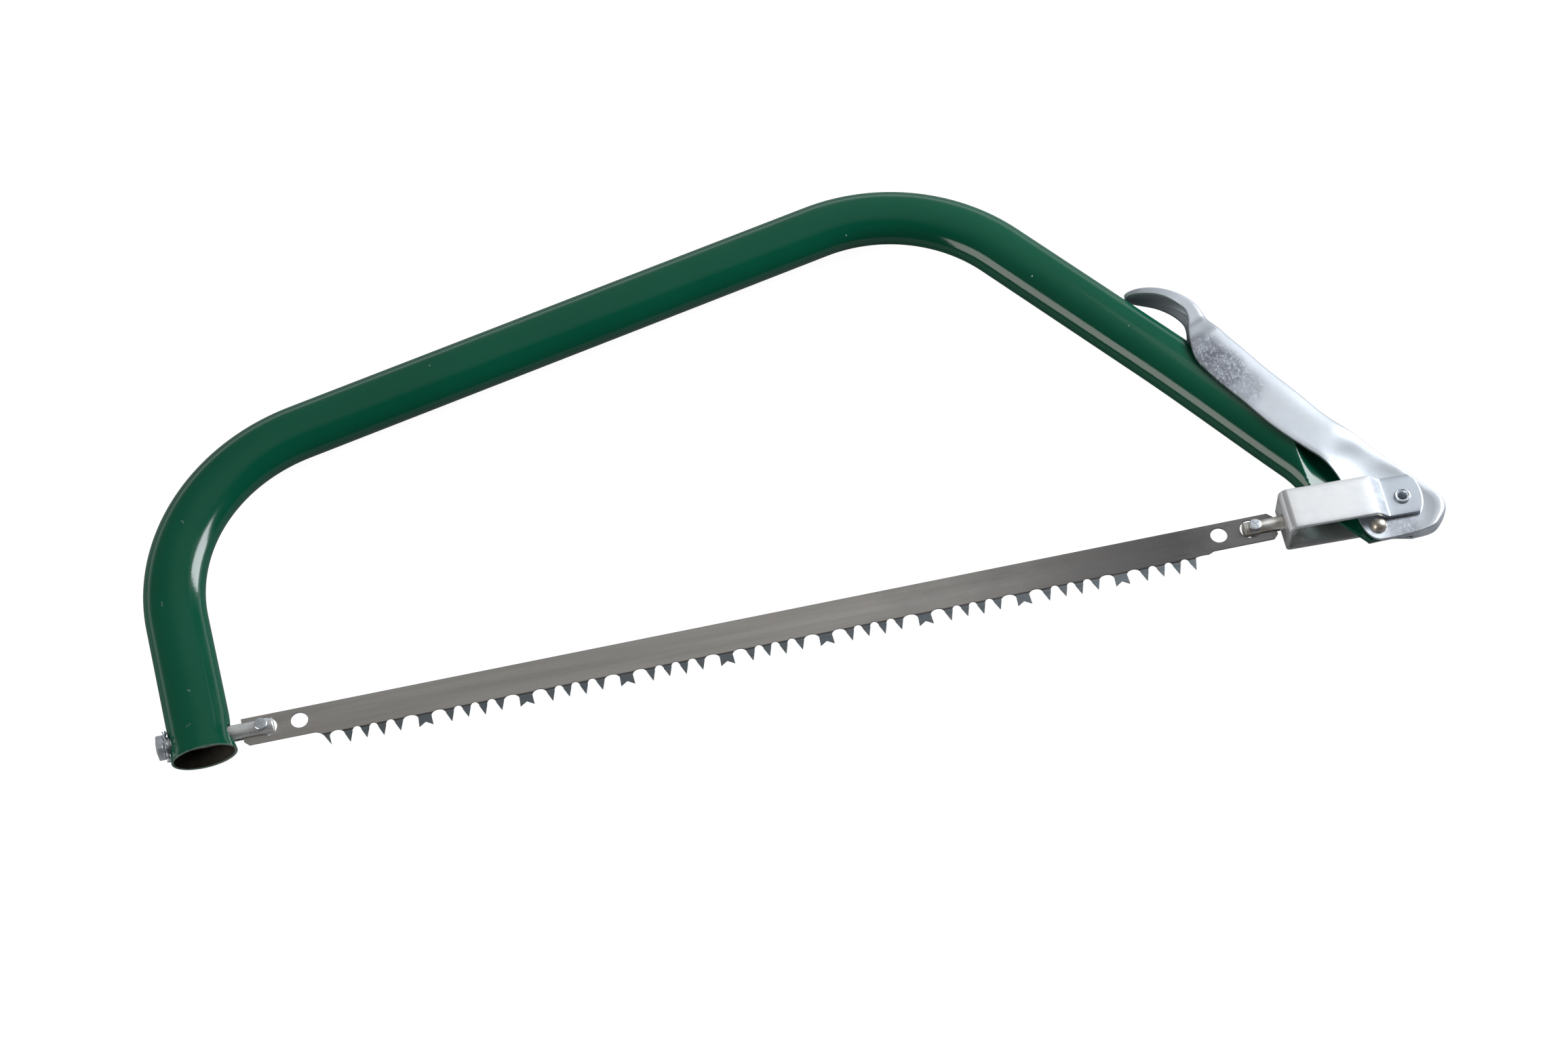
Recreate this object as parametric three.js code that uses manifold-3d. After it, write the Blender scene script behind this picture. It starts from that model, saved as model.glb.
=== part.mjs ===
// Bow saw with an oval tube bow, a 530 mm green-wood blade and an over-centre tension lever.
// Working frame: X along the blade from the rear cross pin to the lever nose, Y from the teeth to
// the top of the bow, Z out of the blade's plane. Millimetres. The saw is laid flat at the end.
import * as THREE from "three";
import { mergeVertices } from "three/addons/utils/BufferGeometryUtils.js";
import Module from "manifold-3d";

const wasm = await Module();
wasm.setup();

// ---------------------------------------------------------------- driving dimensions
const bladeSpan = 530;            // between the two cross pins
const bladeHalfThickness = 0.45;
const bladeTop = 7.2;             // back edge above the pin line
const bladeBottom = -8.7;         // plain lower edge at both ends
const bladeRearEnd = -10;
const bladeFrontEnd = 541;
const bladeCornerCut = 2.6;
const mountHoleRadius = 5.45;
const mountHoleInset = 2.5;       // hole centre inboard of the cross pin it pulls on
const hangHoleRadius = 4.5;
const hangHoleInset = 19.6;

const toothTip = -17.8;
const gulletTop = -9.8;
const rakerPitch = 52.9;
const firstRaker = 83.2;
const rakerCount = 8;
const pegOffsets = [13.3, 22.1, 30.8, 39.6];   // peg tips after each raker centre
const pegBaseHalf = 2.9;
const rakerTipHalf = 3.7;
const rakerBaseHalf = 3.45;
const rakerNotch = 2.4;           // depth of the swallow-tail notch

const tubeHalfWidth = 16.5;       // in the plane of the saw
const tubeHalfDepth = 10.8;       // out of the plane
const tubeWall = 1.4;
const tubeEnd = { x: -30.9, y: -10.1 };
const tubeRearCorner = { x: -39.8, y: 157.6 };
const tubeFrontCorner = { x: 406.0, y: 256.6 };
const tubeNosePoint = { x: 613.2, y: -18.1 };  // where the front leg's centre line reaches the nose
const rearBendRadius = 101;
const frontBendRadius = 95.5;
const flareLength = 9;            // slight bell at the open rear end
const flareSize = 0.8;

const leverPivot = { x: 593.0, y: -15.4 };     // domed rivet through the flattened nose
const strapPivot = { x: 609.9, y: -1.8 };      // hollow rivet through the stirrup ears
const flatStart = 60;             // the tube is pressed flat between these distances from the pivot
const flatEnd = 27;
const spreadStart = 160;          // and spreads slowly between these
const slowSpreadEnd = 45;
const spreadShare = 0.35;         // of its extra width that it gains slowly
const flatHalfWidth = 20.2;
const flatHalfDepth = 1.3;
const flatShift = -3.8;           // the pressed nose leans to the throat side
const tongueRadius = 14;
const tongueBottom = -21.6;

const leverSheet = 1.8;
const noseHalfDepth = 3.4;        // lever half thickness where it is pressed narrow
const tipHalfDepth = 2.0;
const troughHalfDepth = 13.05;    // at the free edges beside the tube
const spineHalfDepth = 9.9;
const hookHalfDepth = 9.4;
const pressedCentre = { x: 604, y: -6.1 };     // round pressed area of the lever nose
const pressedRadius = 24;
const pressedBlend = 30;

const strapSheet = 2.2;
const strapHalfWide = 11.4;
const strapHalfEar = 5.9;
const strapLength = 75.5;
const strapBendRadius = 5.2;
const strapLow = -10.9;           // lower and upper edges about the pivot line
const strapHigh = 13.1;
const strapEndX = 545.5;          // outer face of the end wall
const strapAngle = THREE.MathUtils.degToRad(-1.8);
const strapHoleRadius = 4.8;

const rearPinRadius = 4.3;
const frontPinRadius = 3.9;
const crossPinRadius = 2.9;
const slotHalf = 0.8;             // sawn slot that takes the blade
const rivetShank = 2.9;
const gap = 0.3;                  // clearance wherever two pieces meet
const roundSteps = 24;

// ---------------------------------------------------------------- solid helpers
function toSolid(geometry) {
  const source = geometry.clone();
  source.deleteAttribute("normal");
  source.deleteAttribute("uv");
  const merged = mergeVertices(source, 1e-4);
  const mesh = new wasm.Mesh({
    numProp: 3,
    vertProperties: new Float32Array(merged.attributes.position.array),
    triVerts: new Uint32Array(merged.index.array),
  });
  return new wasm.Manifold(mesh);
}

function toGeometry(manifold) {
  const mesh = manifold.getMesh();
  const geometry = new THREE.BufferGeometry();
  geometry.setAttribute("position", new THREE.BufferAttribute(new Float32Array(mesh.vertProperties), 3));
  geometry.setIndex(new THREE.BufferAttribute(new Uint32Array(mesh.triVerts), 1));
  geometry.computeVertexNormals();
  return geometry;
}

function smoothstep(low, high, value) {
  const t = THREE.MathUtils.clamp((value - low) / (high - low), 0, 1);
  return t * t * (3 - 2 * t);
}

function mix(from, to, amount) {
  return from + (to - from) * amount;
}

// Flat plate with the given plan outline between two heights.
function prism(outline, low, high) {
  const shape = new THREE.Shape(outline.map((p) => new THREE.Vector2(p.x, p.y)));
  const geometry = new THREE.ExtrudeGeometry(shape, { depth: high - low, bevelEnabled: false });
  geometry.translate(0, 0, low);
  return toSolid(geometry);
}

// Cylinder along Z through a plan point.
function rodZ(centre, radius, low, high) {
  const geometry = new THREE.CylinderGeometry(radius, radius, high - low, roundSteps);
  geometry.rotateX(Math.PI / 2);
  geometry.translate(centre.x, centre.y, (low + high) / 2);
  return toSolid(geometry);
}

// Cylinder along X on the pin line.
function rodX(radius, from, to, y = 0) {
  const geometry = new THREE.CylinderGeometry(radius, radius, to - from, roundSteps);
  geometry.rotateZ(-Math.PI / 2);
  geometry.translate((from + to) / 2, y, 0);
  return toSolid(geometry);
}

function box(x0, x1, y0, y1, z0, z1) {
  const geometry = new THREE.BoxGeometry(x1 - x0, y1 - y0, z1 - z0);
  geometry.translate((x0 + x1) / 2, (y0 + y1) / 2, (z0 + z1) / 2);
  return toSolid(geometry);
}

// Skin through a row of rings that all have the same number of points, closed at both ends.
function loft(rings) {
  const count = rings[0].length;
  const positions = [];
  const indices = [];
  for (const ring of rings) {
    for (const point of ring) positions.push(point.x, point.y, point.z);
  }
  for (let r = 0; r < rings.length - 1; r += 1) {
    for (let i = 0; i < count; i += 1) {
      const a = r * count + i;
      const b = r * count + ((i + 1) % count);
      indices.push(a, b, b + count, a, b + count, a + count);
    }
  }
  capRing(rings[0], 0, true, positions, indices);
  capRing(rings[rings.length - 1], (rings.length - 1) * count, false, positions, indices);
  const geometry = new THREE.BufferGeometry();
  geometry.setAttribute("position", new THREE.Float32BufferAttribute(positions, 3));
  geometry.setIndex(indices);
  return toSolid(geometry);
}

function capRing(ring, start, reversed, positions, indices) {
  const centre = new THREE.Vector3();
  for (const point of ring) centre.add(point);
  centre.divideScalar(ring.length);
  const hub = positions.length / 3;
  positions.push(centre.x, centre.y, centre.z);
  for (let i = 0; i < ring.length; i += 1) {
    const a = start + i;
    const b = start + ((i + 1) % ring.length);
    if (reversed) indices.push(hub, b, a);
    else indices.push(hub, a, b);
  }
}

function arcPoints(centre, radius, fromDegrees, toDegrees, steps) {
  const points = [];
  for (let i = 0; i <= steps; i += 1) {
    const angle = THREE.MathUtils.degToRad(mix(fromDegrees, toDegrees, i / steps));
    points.push({ x: centre.x + radius * Math.cos(angle), y: centre.y + radius * Math.sin(angle) });
  }
  return points;
}

// ---------------------------------------------------------------- frame tube
// Points along the tube: straight legs joined by round bends, with the direction at each point.
function filletedCorner(before, corner, after, radius, steps) {
  const back = new THREE.Vector2(before.x - corner.x, before.y - corner.y).normalize();
  const on = new THREE.Vector2(after.x - corner.x, after.y - corner.y).normalize();
  const half = Math.acos(back.dot(on)) / 2;
  const reach = radius / Math.tan(half);
  const inward = back.clone().add(on).normalize().multiplyScalar(radius / Math.sin(half));
  const centre = new THREE.Vector2(corner.x, corner.y).add(inward);
  const start = new THREE.Vector2(corner.x, corner.y).addScaledVector(back, reach);
  const from = Math.atan2(start.y - centre.y, start.x - centre.x);
  const sweep = -(Math.PI - 2 * half);
  const points = [];
  for (let i = 0; i <= steps; i += 1) {
    const angle = from + (sweep * i) / steps;
    const point = new THREE.Vector2(Math.cos(angle), Math.sin(angle)).multiplyScalar(radius).add(centre);
    const direction = new THREE.Vector2(Math.sin(angle), -Math.cos(angle));
    points.push({ point, direction });
  }
  return points;
}

function straightPoints(from, to, distances) {
  const direction = new THREE.Vector2(to.x - from.x, to.y - from.y).normalize();
  return distances.map((d) => ({
    point: new THREE.Vector2(from.x, from.y).addScaledVector(direction, d),
    direction,
  }));
}

const noseDirection = new THREE.Vector2(
  tubeNosePoint.x - tubeFrontCorner.x,
  tubeNosePoint.y - tubeFrontCorner.y,
).normalize();

// Distance back along the front leg from the lever pivot.
function distanceFromPivot(point) {
  return (leverPivot.x - point.x) * noseDirection.x + (leverPivot.y - point.y) * noseDirection.y;
}

function tubePath(noseReach) {
  const rearBend = filletedCorner(tubeEnd, tubeRearCorner, tubeFrontCorner, rearBendRadius, 11);
  const frontBend = filletedCorner(tubeRearCorner, tubeFrontCorner, tubeNosePoint, frontBendRadius, 9);
  const bendEnd = frontBend[frontBend.length - 1].point;
  const toPivot = distanceFromPivot(bendEnd);
  const noseDistances = [toPivot - 125, toPivot - 90, toPivot - 70];
  const pressStep = (flatStart - flatEnd) / 8;
  for (let i = 0; i <= 8; i += 1) noseDistances.push(toPivot - flatStart + i * pressStep);
  if (noseReach < flatEnd) noseDistances.push(toPivot - noseReach);
  return [
    ...straightPoints(tubeEnd, tubeRearCorner, [0, flareLength / 2, flareLength]),
    ...rearBend,
    ...frontBend,
    ...straightPoints(bendEnd, tubeNosePoint, noseDistances.filter((d) => toPivot - d >= noseReach)),
  ];
}

// Oval section that spreads slowly along the front leg and is then pressed into a flat strip.
function tubeSection(station, inset) {
  const along = distanceFromPivot(station.point);
  const pressed = 1 - smoothstep(flatEnd, flatStart, along);
  const slowSpread = 1 - smoothstep(slowSpreadEnd, spreadStart, along);
  const spread = mix(pressed, slowSpread, spreadShare);
  const fromEnd = Math.hypot(station.point.x - tubeEnd.x, station.point.y - tubeEnd.y);
  const flare = flareSize * (1 - smoothstep(0, flareLength, fromEnd));
  const halfWidth = mix(tubeHalfWidth, flatHalfWidth, spread) + flare - inset;
  const halfDepth = mix(tubeHalfDepth, flatHalfDepth, pressed) + flare - inset;
  const power = mix(1, 0.35, pressed);
  const side = new THREE.Vector2(-station.direction.y, station.direction.x);
  const ring = [];
  for (let i = 0; i < roundSteps; i += 1) {
    const angle = (2 * Math.PI * i) / roundSteps;
    const across = Math.sign(Math.cos(angle)) * Math.abs(Math.cos(angle)) ** power * halfWidth;
    const depth = Math.sign(Math.sin(angle)) * Math.abs(Math.sin(angle)) ** power * halfDepth;
    const offset = across + flatShift * spread;
    ring.push(new THREE.Vector3(
      station.point.x + side.x * offset,
      station.point.y + side.y * offset,
      depth,
    ));
  }
  return ring;
}

function buildFrameTube() {
  const skin = loft(tubePath(-24).map((station) => tubeSection(station, 0)));
  const borePath = tubePath(flatEnd + 6);
  borePath[0].point = borePath[0].point.clone().addScaledVector(borePath[0].direction, -1);
  const bore = loft(borePath.map((station) => tubeSection(station, tubeWall)));
  return skin
    .subtract(bore)
    .subtract(noseTrim())
    .subtract(rodZ(leverPivot, rivetShank + gap, -20, 20))
    .subtract(rodX(rearPinRadius + 0.8, tubeEnd.x, 0))
    .subtract(rodX(rearPinRadius + gap, tubeEnd.x - 30, tubeEnd.x));
}

// Everything beyond the rounded tongue that the lever pivots on.
function noseTrim() {
  const outline = [
    { x: 566, y: tongueBottom },
    { x: leverPivot.x + 6, y: tongueBottom },
    ...arcPoints(leverPivot, tongueRadius, -30, 62, 8),
    { x: 584, y: 26 },
    { x: 596, y: 44 },
    { x: 680, y: 20 },
    { x: 680, y: -80 },
    { x: 566, y: -80 },
  ];
  return prism(outline, -20, 20);
}

// ---------------------------------------------------------------- blade
// Rounded gullet from one flank to the next, drawn as half an ellipse.
function gullet(fromX, toX, flankY, steps) {
  const points = [];
  const centre = (fromX + toX) / 2;
  const half = (toX - fromX) / 2;
  for (let i = 0; i <= steps; i += 1) {
    const angle = Math.PI * (1 - i / steps);
    points.push({ x: centre + half * Math.cos(angle), y: flankY + (gulletTop - flankY) * Math.sin(angle) });
  }
  return points;
}

// Toothed edge from left to right: a half raker, then groups of four pegs split by rakers.
function toothedEdge() {
  const flankY = -12.6;
  const points = [{ x: 26.5, y: bladeBottom }, { x: 30.6, y: -11.2 }];
  const halfRakerTip = firstRaker - rakerPitch + rakerTipHalf;
  points.push({ x: halfRakerTip, y: toothTip });
  let leftFlank = halfRakerTip - 0.4;
  for (let r = -1; r < rakerCount; r += 1) {
    const rakerX = firstRaker + r * rakerPitch;
    for (const offset of pegOffsets) {
      const tip = rakerX + offset;
      points.push(...gullet(leftFlank, tip - pegBaseHalf * 0.78, flankY, 5));
      points.push({ x: tip, y: toothTip });
      leftFlank = tip + pegBaseHalf * 0.62;
    }
    const nextRaker = rakerX + rakerPitch;
    if (r < rakerCount - 1) {
      points.push(...gullet(leftFlank, nextRaker - rakerBaseHalf, flankY, 6));
      points.push({ x: nextRaker - rakerTipHalf, y: toothTip });
      points.push({ x: nextRaker, y: toothTip + rakerNotch });
      points.push({ x: nextRaker + rakerTipHalf, y: toothTip });
      leftFlank = nextRaker + rakerBaseHalf;
    }
  }
  const lastStep = leftFlank + 9;
  points.push(...gullet(leftFlank, lastStep, flankY + 2, 6).slice(0, 5));
  points.push({ x: lastStep + 1.5, y: bladeBottom });
  return points;
}

function buildBlade() {
  const outline = [
    { x: bladeRearEnd, y: bladeTop },
    { x: bladeRearEnd, y: bladeBottom + bladeCornerCut },
    { x: bladeRearEnd + bladeCornerCut, y: bladeBottom },
    ...toothedEdge(),
    { x: bladeFrontEnd - bladeCornerCut, y: bladeBottom },
    { x: bladeFrontEnd, y: bladeBottom + bladeCornerCut },
    { x: bladeFrontEnd, y: bladeTop - bladeCornerCut },
    { x: bladeFrontEnd - bladeCornerCut, y: bladeTop },
  ];
  let blade = prism(outline, -bladeHalfThickness, bladeHalfThickness);
  const holes = [
    [mountHoleInset, mountHoleRadius],
    [hangHoleInset, hangHoleRadius],
    [bladeSpan - hangHoleInset, hangHoleRadius],
    [bladeSpan - mountHoleInset, mountHoleRadius],
  ];
  for (const [x, radius] of holes) blade = blade.subtract(rodZ({ x, y: 0 }, radius, -2, 2));
  return blade;
}

// ---------------------------------------------------------------- pins, nut and washer
function buildRearPin() {
  return rodX(rearPinRadius, -54.6, 6.2)
    .subtract(box(-14, 8, -6, 6, -slotHalf, slotHalf))
    .subtract(rodZ({ x: 0, y: 0 }, crossPinRadius + 0.25, -8, 8));
}

function buildFrontPin() {
  return rodX(frontPinRadius, 523.8, 553.8)
    .add(rodX(6, 553.6, 557.6))
    .subtract(box(520, 543, -6, 6, -slotHalf, slotHalf))
    .subtract(rodZ({ x: bladeSpan, y: 0 }, crossPinRadius + 0.25, -8, 8));
}

function buildCrossPin(x, halfLength) {
  const profile = [
    new THREE.Vector2(0, -halfLength),
    new THREE.Vector2(crossPinRadius - 0.5, -halfLength),
    new THREE.Vector2(crossPinRadius, -halfLength + 0.5),
    new THREE.Vector2(crossPinRadius, halfLength - 0.5),
    new THREE.Vector2(crossPinRadius - 0.5, halfLength),
    new THREE.Vector2(0, halfLength),
  ];
  const geometry = new THREE.LatheGeometry(profile, roundSteps);
  geometry.rotateX(Math.PI / 2);
  geometry.translate(x, 0, 0);
  return toSolid(geometry);
}

// Star-shaped spring washer between the tube and the nut.
function buildLockWasher() {
  const teeth = 12;
  const outline = [];
  for (let i = 0; i < teeth * 4; i += 1) {
    const radius = i % 4 < 2 ? 8.2 : 6.4;
    const angle = (2 * Math.PI * i) / (teeth * 4);
    outline.push({ x: radius * Math.cos(angle), y: radius * Math.sin(angle) });
  }
  const star = prism(outline, 0, 1.2);
  const geometry = toGeometry(star.subtract(rodZ({ x: 0, y: 0 }, rearPinRadius + gap, -1, 3)));
  geometry.rotateY(-Math.PI / 2);
  geometry.translate(-48.7, 0, 0);
  return toSolid(geometry);
}

function buildNut() {
  const geometry = new THREE.CylinderGeometry(7.4, 7.4, 3.8, 6);
  geometry.rotateZ(Math.PI / 2);
  geometry.translate(-52.1, 0, 0);
  return toSolid(geometry).subtract(rodX(rearPinRadius + 0.1, -60, -45));
}

// ---------------------------------------------------------------- stirrup
// Side profile of the folded strap: half length positions and outer half depths.
function strapProfile(inset) {
  const bendCentre = { x: strapBendRadius, y: strapHalfWide - strapBendRadius };
  const bend = arcPoints(bendCentre, strapBendRadius - inset, 180, 90, 5);
  const joggleShift = inset * 0.4;
  return [
    ...bend,
    { x: 48.5 - joggleShift, y: strapHalfWide - inset },
    { x: 54.8 - joggleShift, y: strapHalfEar - inset },
    { x: strapLength + 1, y: strapHalfEar - inset },
  ];
}

function buildStirrup() {
  const outer = strapProfile(0);
  const inner = strapProfile(strapSheet);
  const mirrored = (points) => points.map((p) => ({ x: p.x, y: -p.y })).reverse();
  const outline = [...mirrored(outer), ...outer, ...inner.slice().reverse(), ...mirrored(inner).reverse()];
  const shape = new THREE.Shape(outline.map((p) => new THREE.Vector2(p.x, p.y)));
  const height = strapHigh - strapLow;
  const geometry = new THREE.ExtrudeGeometry(shape, { depth: height, bevelEnabled: false });
  geometry.rotateX(Math.PI / 2);
  geometry.translate(strapEndX, strapPivot.y + strapHigh, 0);
  const strap = toSolid(geometry)
    .intersect(prism(strapPlan(), -20, 20))
    .subtract(rodX(strapHoleRadius, strapEndX - 5, strapEndX + 10, strapPivot.y - 0.2))
    .subtract(rodZ(strapPivot, rivetShank + gap, -20, 20));
  const turned = toGeometry(strap);
  turned.translate(-strapPivot.x, -strapPivot.y, 0);
  turned.rotateZ(strapAngle);
  turned.translate(strapPivot.x, strapPivot.y, 0);
  return toSolid(turned);
}

// Plan outline of the strap: straight sides and ears that end in a shallow arc.
function strapPlan() {
  const earArc = arcPoints({ x: strapPivot.x - 13.1, y: strapPivot.y + 1.1 }, 24, -29, 27, 8);
  return [
    { x: strapEndX - 1, y: strapPivot.y + strapLow },
    ...earArc,
    { x: strapEndX + strapLength - 7, y: strapPivot.y + strapHigh },
    { x: strapEndX - 1, y: strapPivot.y + strapHigh },
  ];
}

// ---------------------------------------------------------------- lever
// Free edge (beside the tube) and spine edge of the lever in plan, from the nose to the hook tip.
const leverEdges = [
  [591.2, -23.6, 600.0, -23.5],
  [588.0, -21.6, 612.0, -23.1],
  [585.6, -18.0, 622.4, -22.0],
  [584.4, -13.0, 626.6, -18.7],
  [583.6, -6.0, 630.9, -12.6],
  [583.0, 1.5, 631.6, -6.8],
  [582.2, 9.0, 627.0, 0.8],
  [580.5, 16.5, 618.4, 13.0],
  [576.0, 26.2, 607.9, 26.4],
  [566.5, 36.8, 595.8, 40.5],
  [554.3, 53.2, 584.5, 54.6],
  [544.3, 70.3, 574.0, 72.3],
  [531.5, 91.7, 561.9, 91.8],
  [526.4, 103.0, 553.4, 107.2],
  [525.9, 111.0, 547.2, 117.9],
  [527.1, 118.9, 543.6, 125.5],
  [529.1, 126.5, 541.2, 132.0],
  [531.2, 134.1, 538.9, 138.5],
  [531.2, 140.0, 535.7, 144.6],
  [527.0, 147.3, 529.2, 151.4],
  [519.2, 153.9, 519.9, 157.0],
  [509.8, 157.2, 510.1, 160.2],
  [502.2, 158.3, 502.4, 161.2],
];
const neckStart = 13;             // station where the trough begins to narrow into the hook
const neckEnd = 18;
const stationSubdivision = 2;

function leverStations() {
  const free = new THREE.CatmullRomCurve3(leverEdges.map((e) => new THREE.Vector3(e[0], e[1], 0)));
  const spine = new THREE.CatmullRomCurve3(leverEdges.map((e) => new THREE.Vector3(e[2], e[3], 0)));
  const last = leverEdges.length - 1;
  const stations = [];
  for (let i = 0; i <= last * stationSubdivision; i += 1) {
    const k = i / stationSubdivision;
    stations.push({ k, free: free.getPoint(k / last), spine: spine.getPoint(k / last) });
  }
  return stations;
}

// Half depth of the lever at a plan point: narrow at the pressed nose, wide beside the tube.
function leverHalfDepth(point, k, acrossFraction) {
  const away = Math.hypot(point.x - pressedCentre.x, point.y - pressedCentre.y);
  const flare = smoothstep(pressedRadius, pressedRadius + pressedBlend, away);
  const full = mix(troughHalfDepth, spineHalfDepth, acrossFraction ** 2);
  const nose = mix(noseHalfDepth, tipHalfDepth, smoothstep(606, 624, point.x));
  const neck = smoothstep(neckStart, neckEnd, k);
  const body = mix(full, hookHalfDepth, neck);
  const tip = k > leverEdges.length - 4 ? hookTipFactor(k) : 1;
  return mix(nose, body, k > 7 ? flare : Math.min(flare, 0.45)) * tip;
}

// The hook ends in a rounded tongue.
function hookTipFactor(k) {
  const left = (leverEdges.length - 1 - k) / 3;
  return Math.sqrt(Math.max(0, 1 - (1 - Math.min(left, 1)) ** 2)) * 0.82 + 0.18;
}

function leverRing(station, inset) {
  const across = station.spine.clone().sub(station.free);
  const width = across.length();
  across.normalize();
  const reach = inset > 0 ? 8 : 0;
  const start = station.free.clone().addScaledVector(across, -reach);
  const span = width + reach - (inset > 0 ? Math.min(inset + 0.7, width * 0.8) : 0);
  const edge = start.clone().addScaledVector(across, span);
  const depthAtEdge = leverHalfDepth(station.spine, station.k, 1) - inset;
  const bend = Math.max(Math.min(3 - inset, depthAtEdge * 0.55, span * 0.3), 0.15);
  const front = [];
  for (const fraction of [0, 0.4, 0.75]) {
    const point = start.clone().addScaledVector(across, (span - bend) * fraction);
    const onLever = Math.max(0, ((span - bend) * fraction - reach) / width);
    front.push(new THREE.Vector3(point.x, point.y, leverHalfDepth(point, station.k, onLever) - inset));
  }
  for (const angle of [90, 45, 0]) {
    const turn = THREE.MathUtils.degToRad(angle);
    const point = edge.clone().addScaledVector(across, bend * (Math.cos(turn) - 1));
    front.push(new THREE.Vector3(point.x, point.y, depthAtEdge - bend + bend * Math.sin(turn)));
  }
  const back = front.map((p) => new THREE.Vector3(p.x, p.y, -p.z)).reverse();
  return [...front, ...back];
}

function buildLever() {
  const stations = leverStations();
  const shell = loft(stations.map((station) => leverRing(station, 0)));
  const hollowStations = stations.filter((station) => station.k >= 5.5 && station.k <= 18.5);
  const hollow = loft(hollowStations.map((station) => leverRing(station, leverSheet)));
  const slotHeight = noseHalfDepth - leverSheet;
  const slot = rodZ(leverPivot, tongueRadius + 1.5, -slotHeight, slotHeight)
    .add(prism(leverSlotPlan(), -slotHeight, slotHeight));
  return shell
    .subtract(hollow)
    .subtract(slot)
    .subtract(prism(backFlangeCut(), -20, 0))
    .subtract(rodZ(leverPivot, rivetShank + gap, -20, 20))
    .subtract(rodZ(strapPivot, rivetShank + gap, -20, 20));
}

// Slot between the two pressed flanges that the frame's tongue works in.
function leverSlotPlan() {
  return [
    { x: 570, y: -40 },
    { x: leverPivot.x + 6, y: -40 },
    { x: leverPivot.x + 13, y: -8 },
    { x: 612, y: 6 },
    { x: 616, y: 15.5 },
    { x: 612, y: 22 },
    { x: 570, y: 30 },
  ];
}

// The rear flange is cut shorter below the pivot than the front one.
function backFlangeCut() {
  return [
    { x: 575, y: -20.2 },
    { x: 575, y: -40 },
    { x: 616, y: -40 },
    { x: 616, y: -24.4 },
    { x: 600, y: -20.8 },
  ];
}

// ---------------------------------------------------------------- rivets
function latheAt(profile, centre) {
  const geometry = new THREE.LatheGeometry(profile.map((p) => new THREE.Vector2(p[0], p[1])), roundSteps);
  geometry.rotateX(Math.PI / 2);
  geometry.translate(centre.x, centre.y, 0);
  return toSolid(geometry);
}

function buildLeverRivet() {
  const seat = noseHalfDepth + 0.2;
  const headRadius = 4.3;
  const headHeight = 4.0;
  const profile = [[0, -seat - 2.4], [2.6, -seat - 2.0], [headRadius, -seat - 0.6], [headRadius, -seat]];
  profile.push([rivetShank, -seat], [rivetShank, seat], [headRadius, seat]);
  for (const angle of [20, 40, 60, 78]) {
    const turn = THREE.MathUtils.degToRad(angle);
    profile.push([headRadius * Math.cos(turn), seat + headHeight * Math.sin(turn)]);
  }
  profile.push([0, seat + headHeight]);
  return latheAt(profile, leverPivot);
}

function buildStirrupRivet() {
  const seat = strapHalfEar + 0.15;
  const rim = [[rivetShank, seat], [4.1, seat], [4.3, seat + 0.6], [3.7, seat + 1.2], [2.8, seat + 1.1]];
  const upper = [...rim, [2.2, seat + 0.4]];
  const lower = upper.map(([r, z]) => [r, -z]).reverse();
  const profile = [...lower, ...upper, lower[0]];
  return latheAt(profile, strapPivot);
}

// ---------------------------------------------------------------- assembly
const finishes = {
  enamel: { color: 0x0b4b35, roughness: 0.3, metalness: 0.0 },
  zinc: { color: 0xc3c8d2, roughness: 0.35, metalness: 0.9 },
  steel: { color: 0x8a857f, roughness: 0.4, metalness: 0.9 },
  nickel: { color: 0x8f8676, roughness: 0.3, metalness: 0.9 },
};

const pieces = [
  ["frame_tube", buildFrameTube, finishes.enamel],
  ["rear_blade_pin", buildRearPin, finishes.nickel],
  ["rear_cross_pin", () => buildCrossPin(0, 5.0), finishes.zinc],
  ["rear_lock_washer", buildLockWasher, finishes.zinc],
  ["rear_nut", buildNut, finishes.zinc],
  ["lever_rivet", buildLeverRivet, finishes.nickel],
  ["blade", buildBlade, finishes.steel],
  ["front_blade_pin", buildFrontPin, finishes.nickel],
  ["front_cross_pin", () => buildCrossPin(bladeSpan, 4.7), finishes.zinc],
  ["stirrup", buildStirrup, finishes.zinc],
  ["stirrup_rivet", buildStirrupRivet, finishes.zinc],
  ["lever", buildLever, finishes.zinc],
];

const group = new THREE.Group();
group.name = "bow_saw";
for (const [name, build, finish] of pieces) {
  const mesh = new THREE.Mesh(toGeometry(build()), new THREE.MeshStandardMaterial(finish));
  mesh.name = name;
  group.add(mesh);
}

// Lay the saw on Z = 0 with the origin under the middle of its bounding box.
const bounds = new THREE.Box3().setFromObject(group);
const middle = bounds.getCenter(new THREE.Vector3());
for (const mesh of group.children) {
  mesh.geometry.translate(-middle.x, -middle.y, -bounds.min.z);
}

export default group;
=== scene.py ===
"""A bow saw: smooth shapes, worn finishes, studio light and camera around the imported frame."""

import math

import bmesh
import bpy
import numpy as np
from mathutils import Matrix, Vector
from mathutils.geometry import delaunay_2d_cdt


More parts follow.
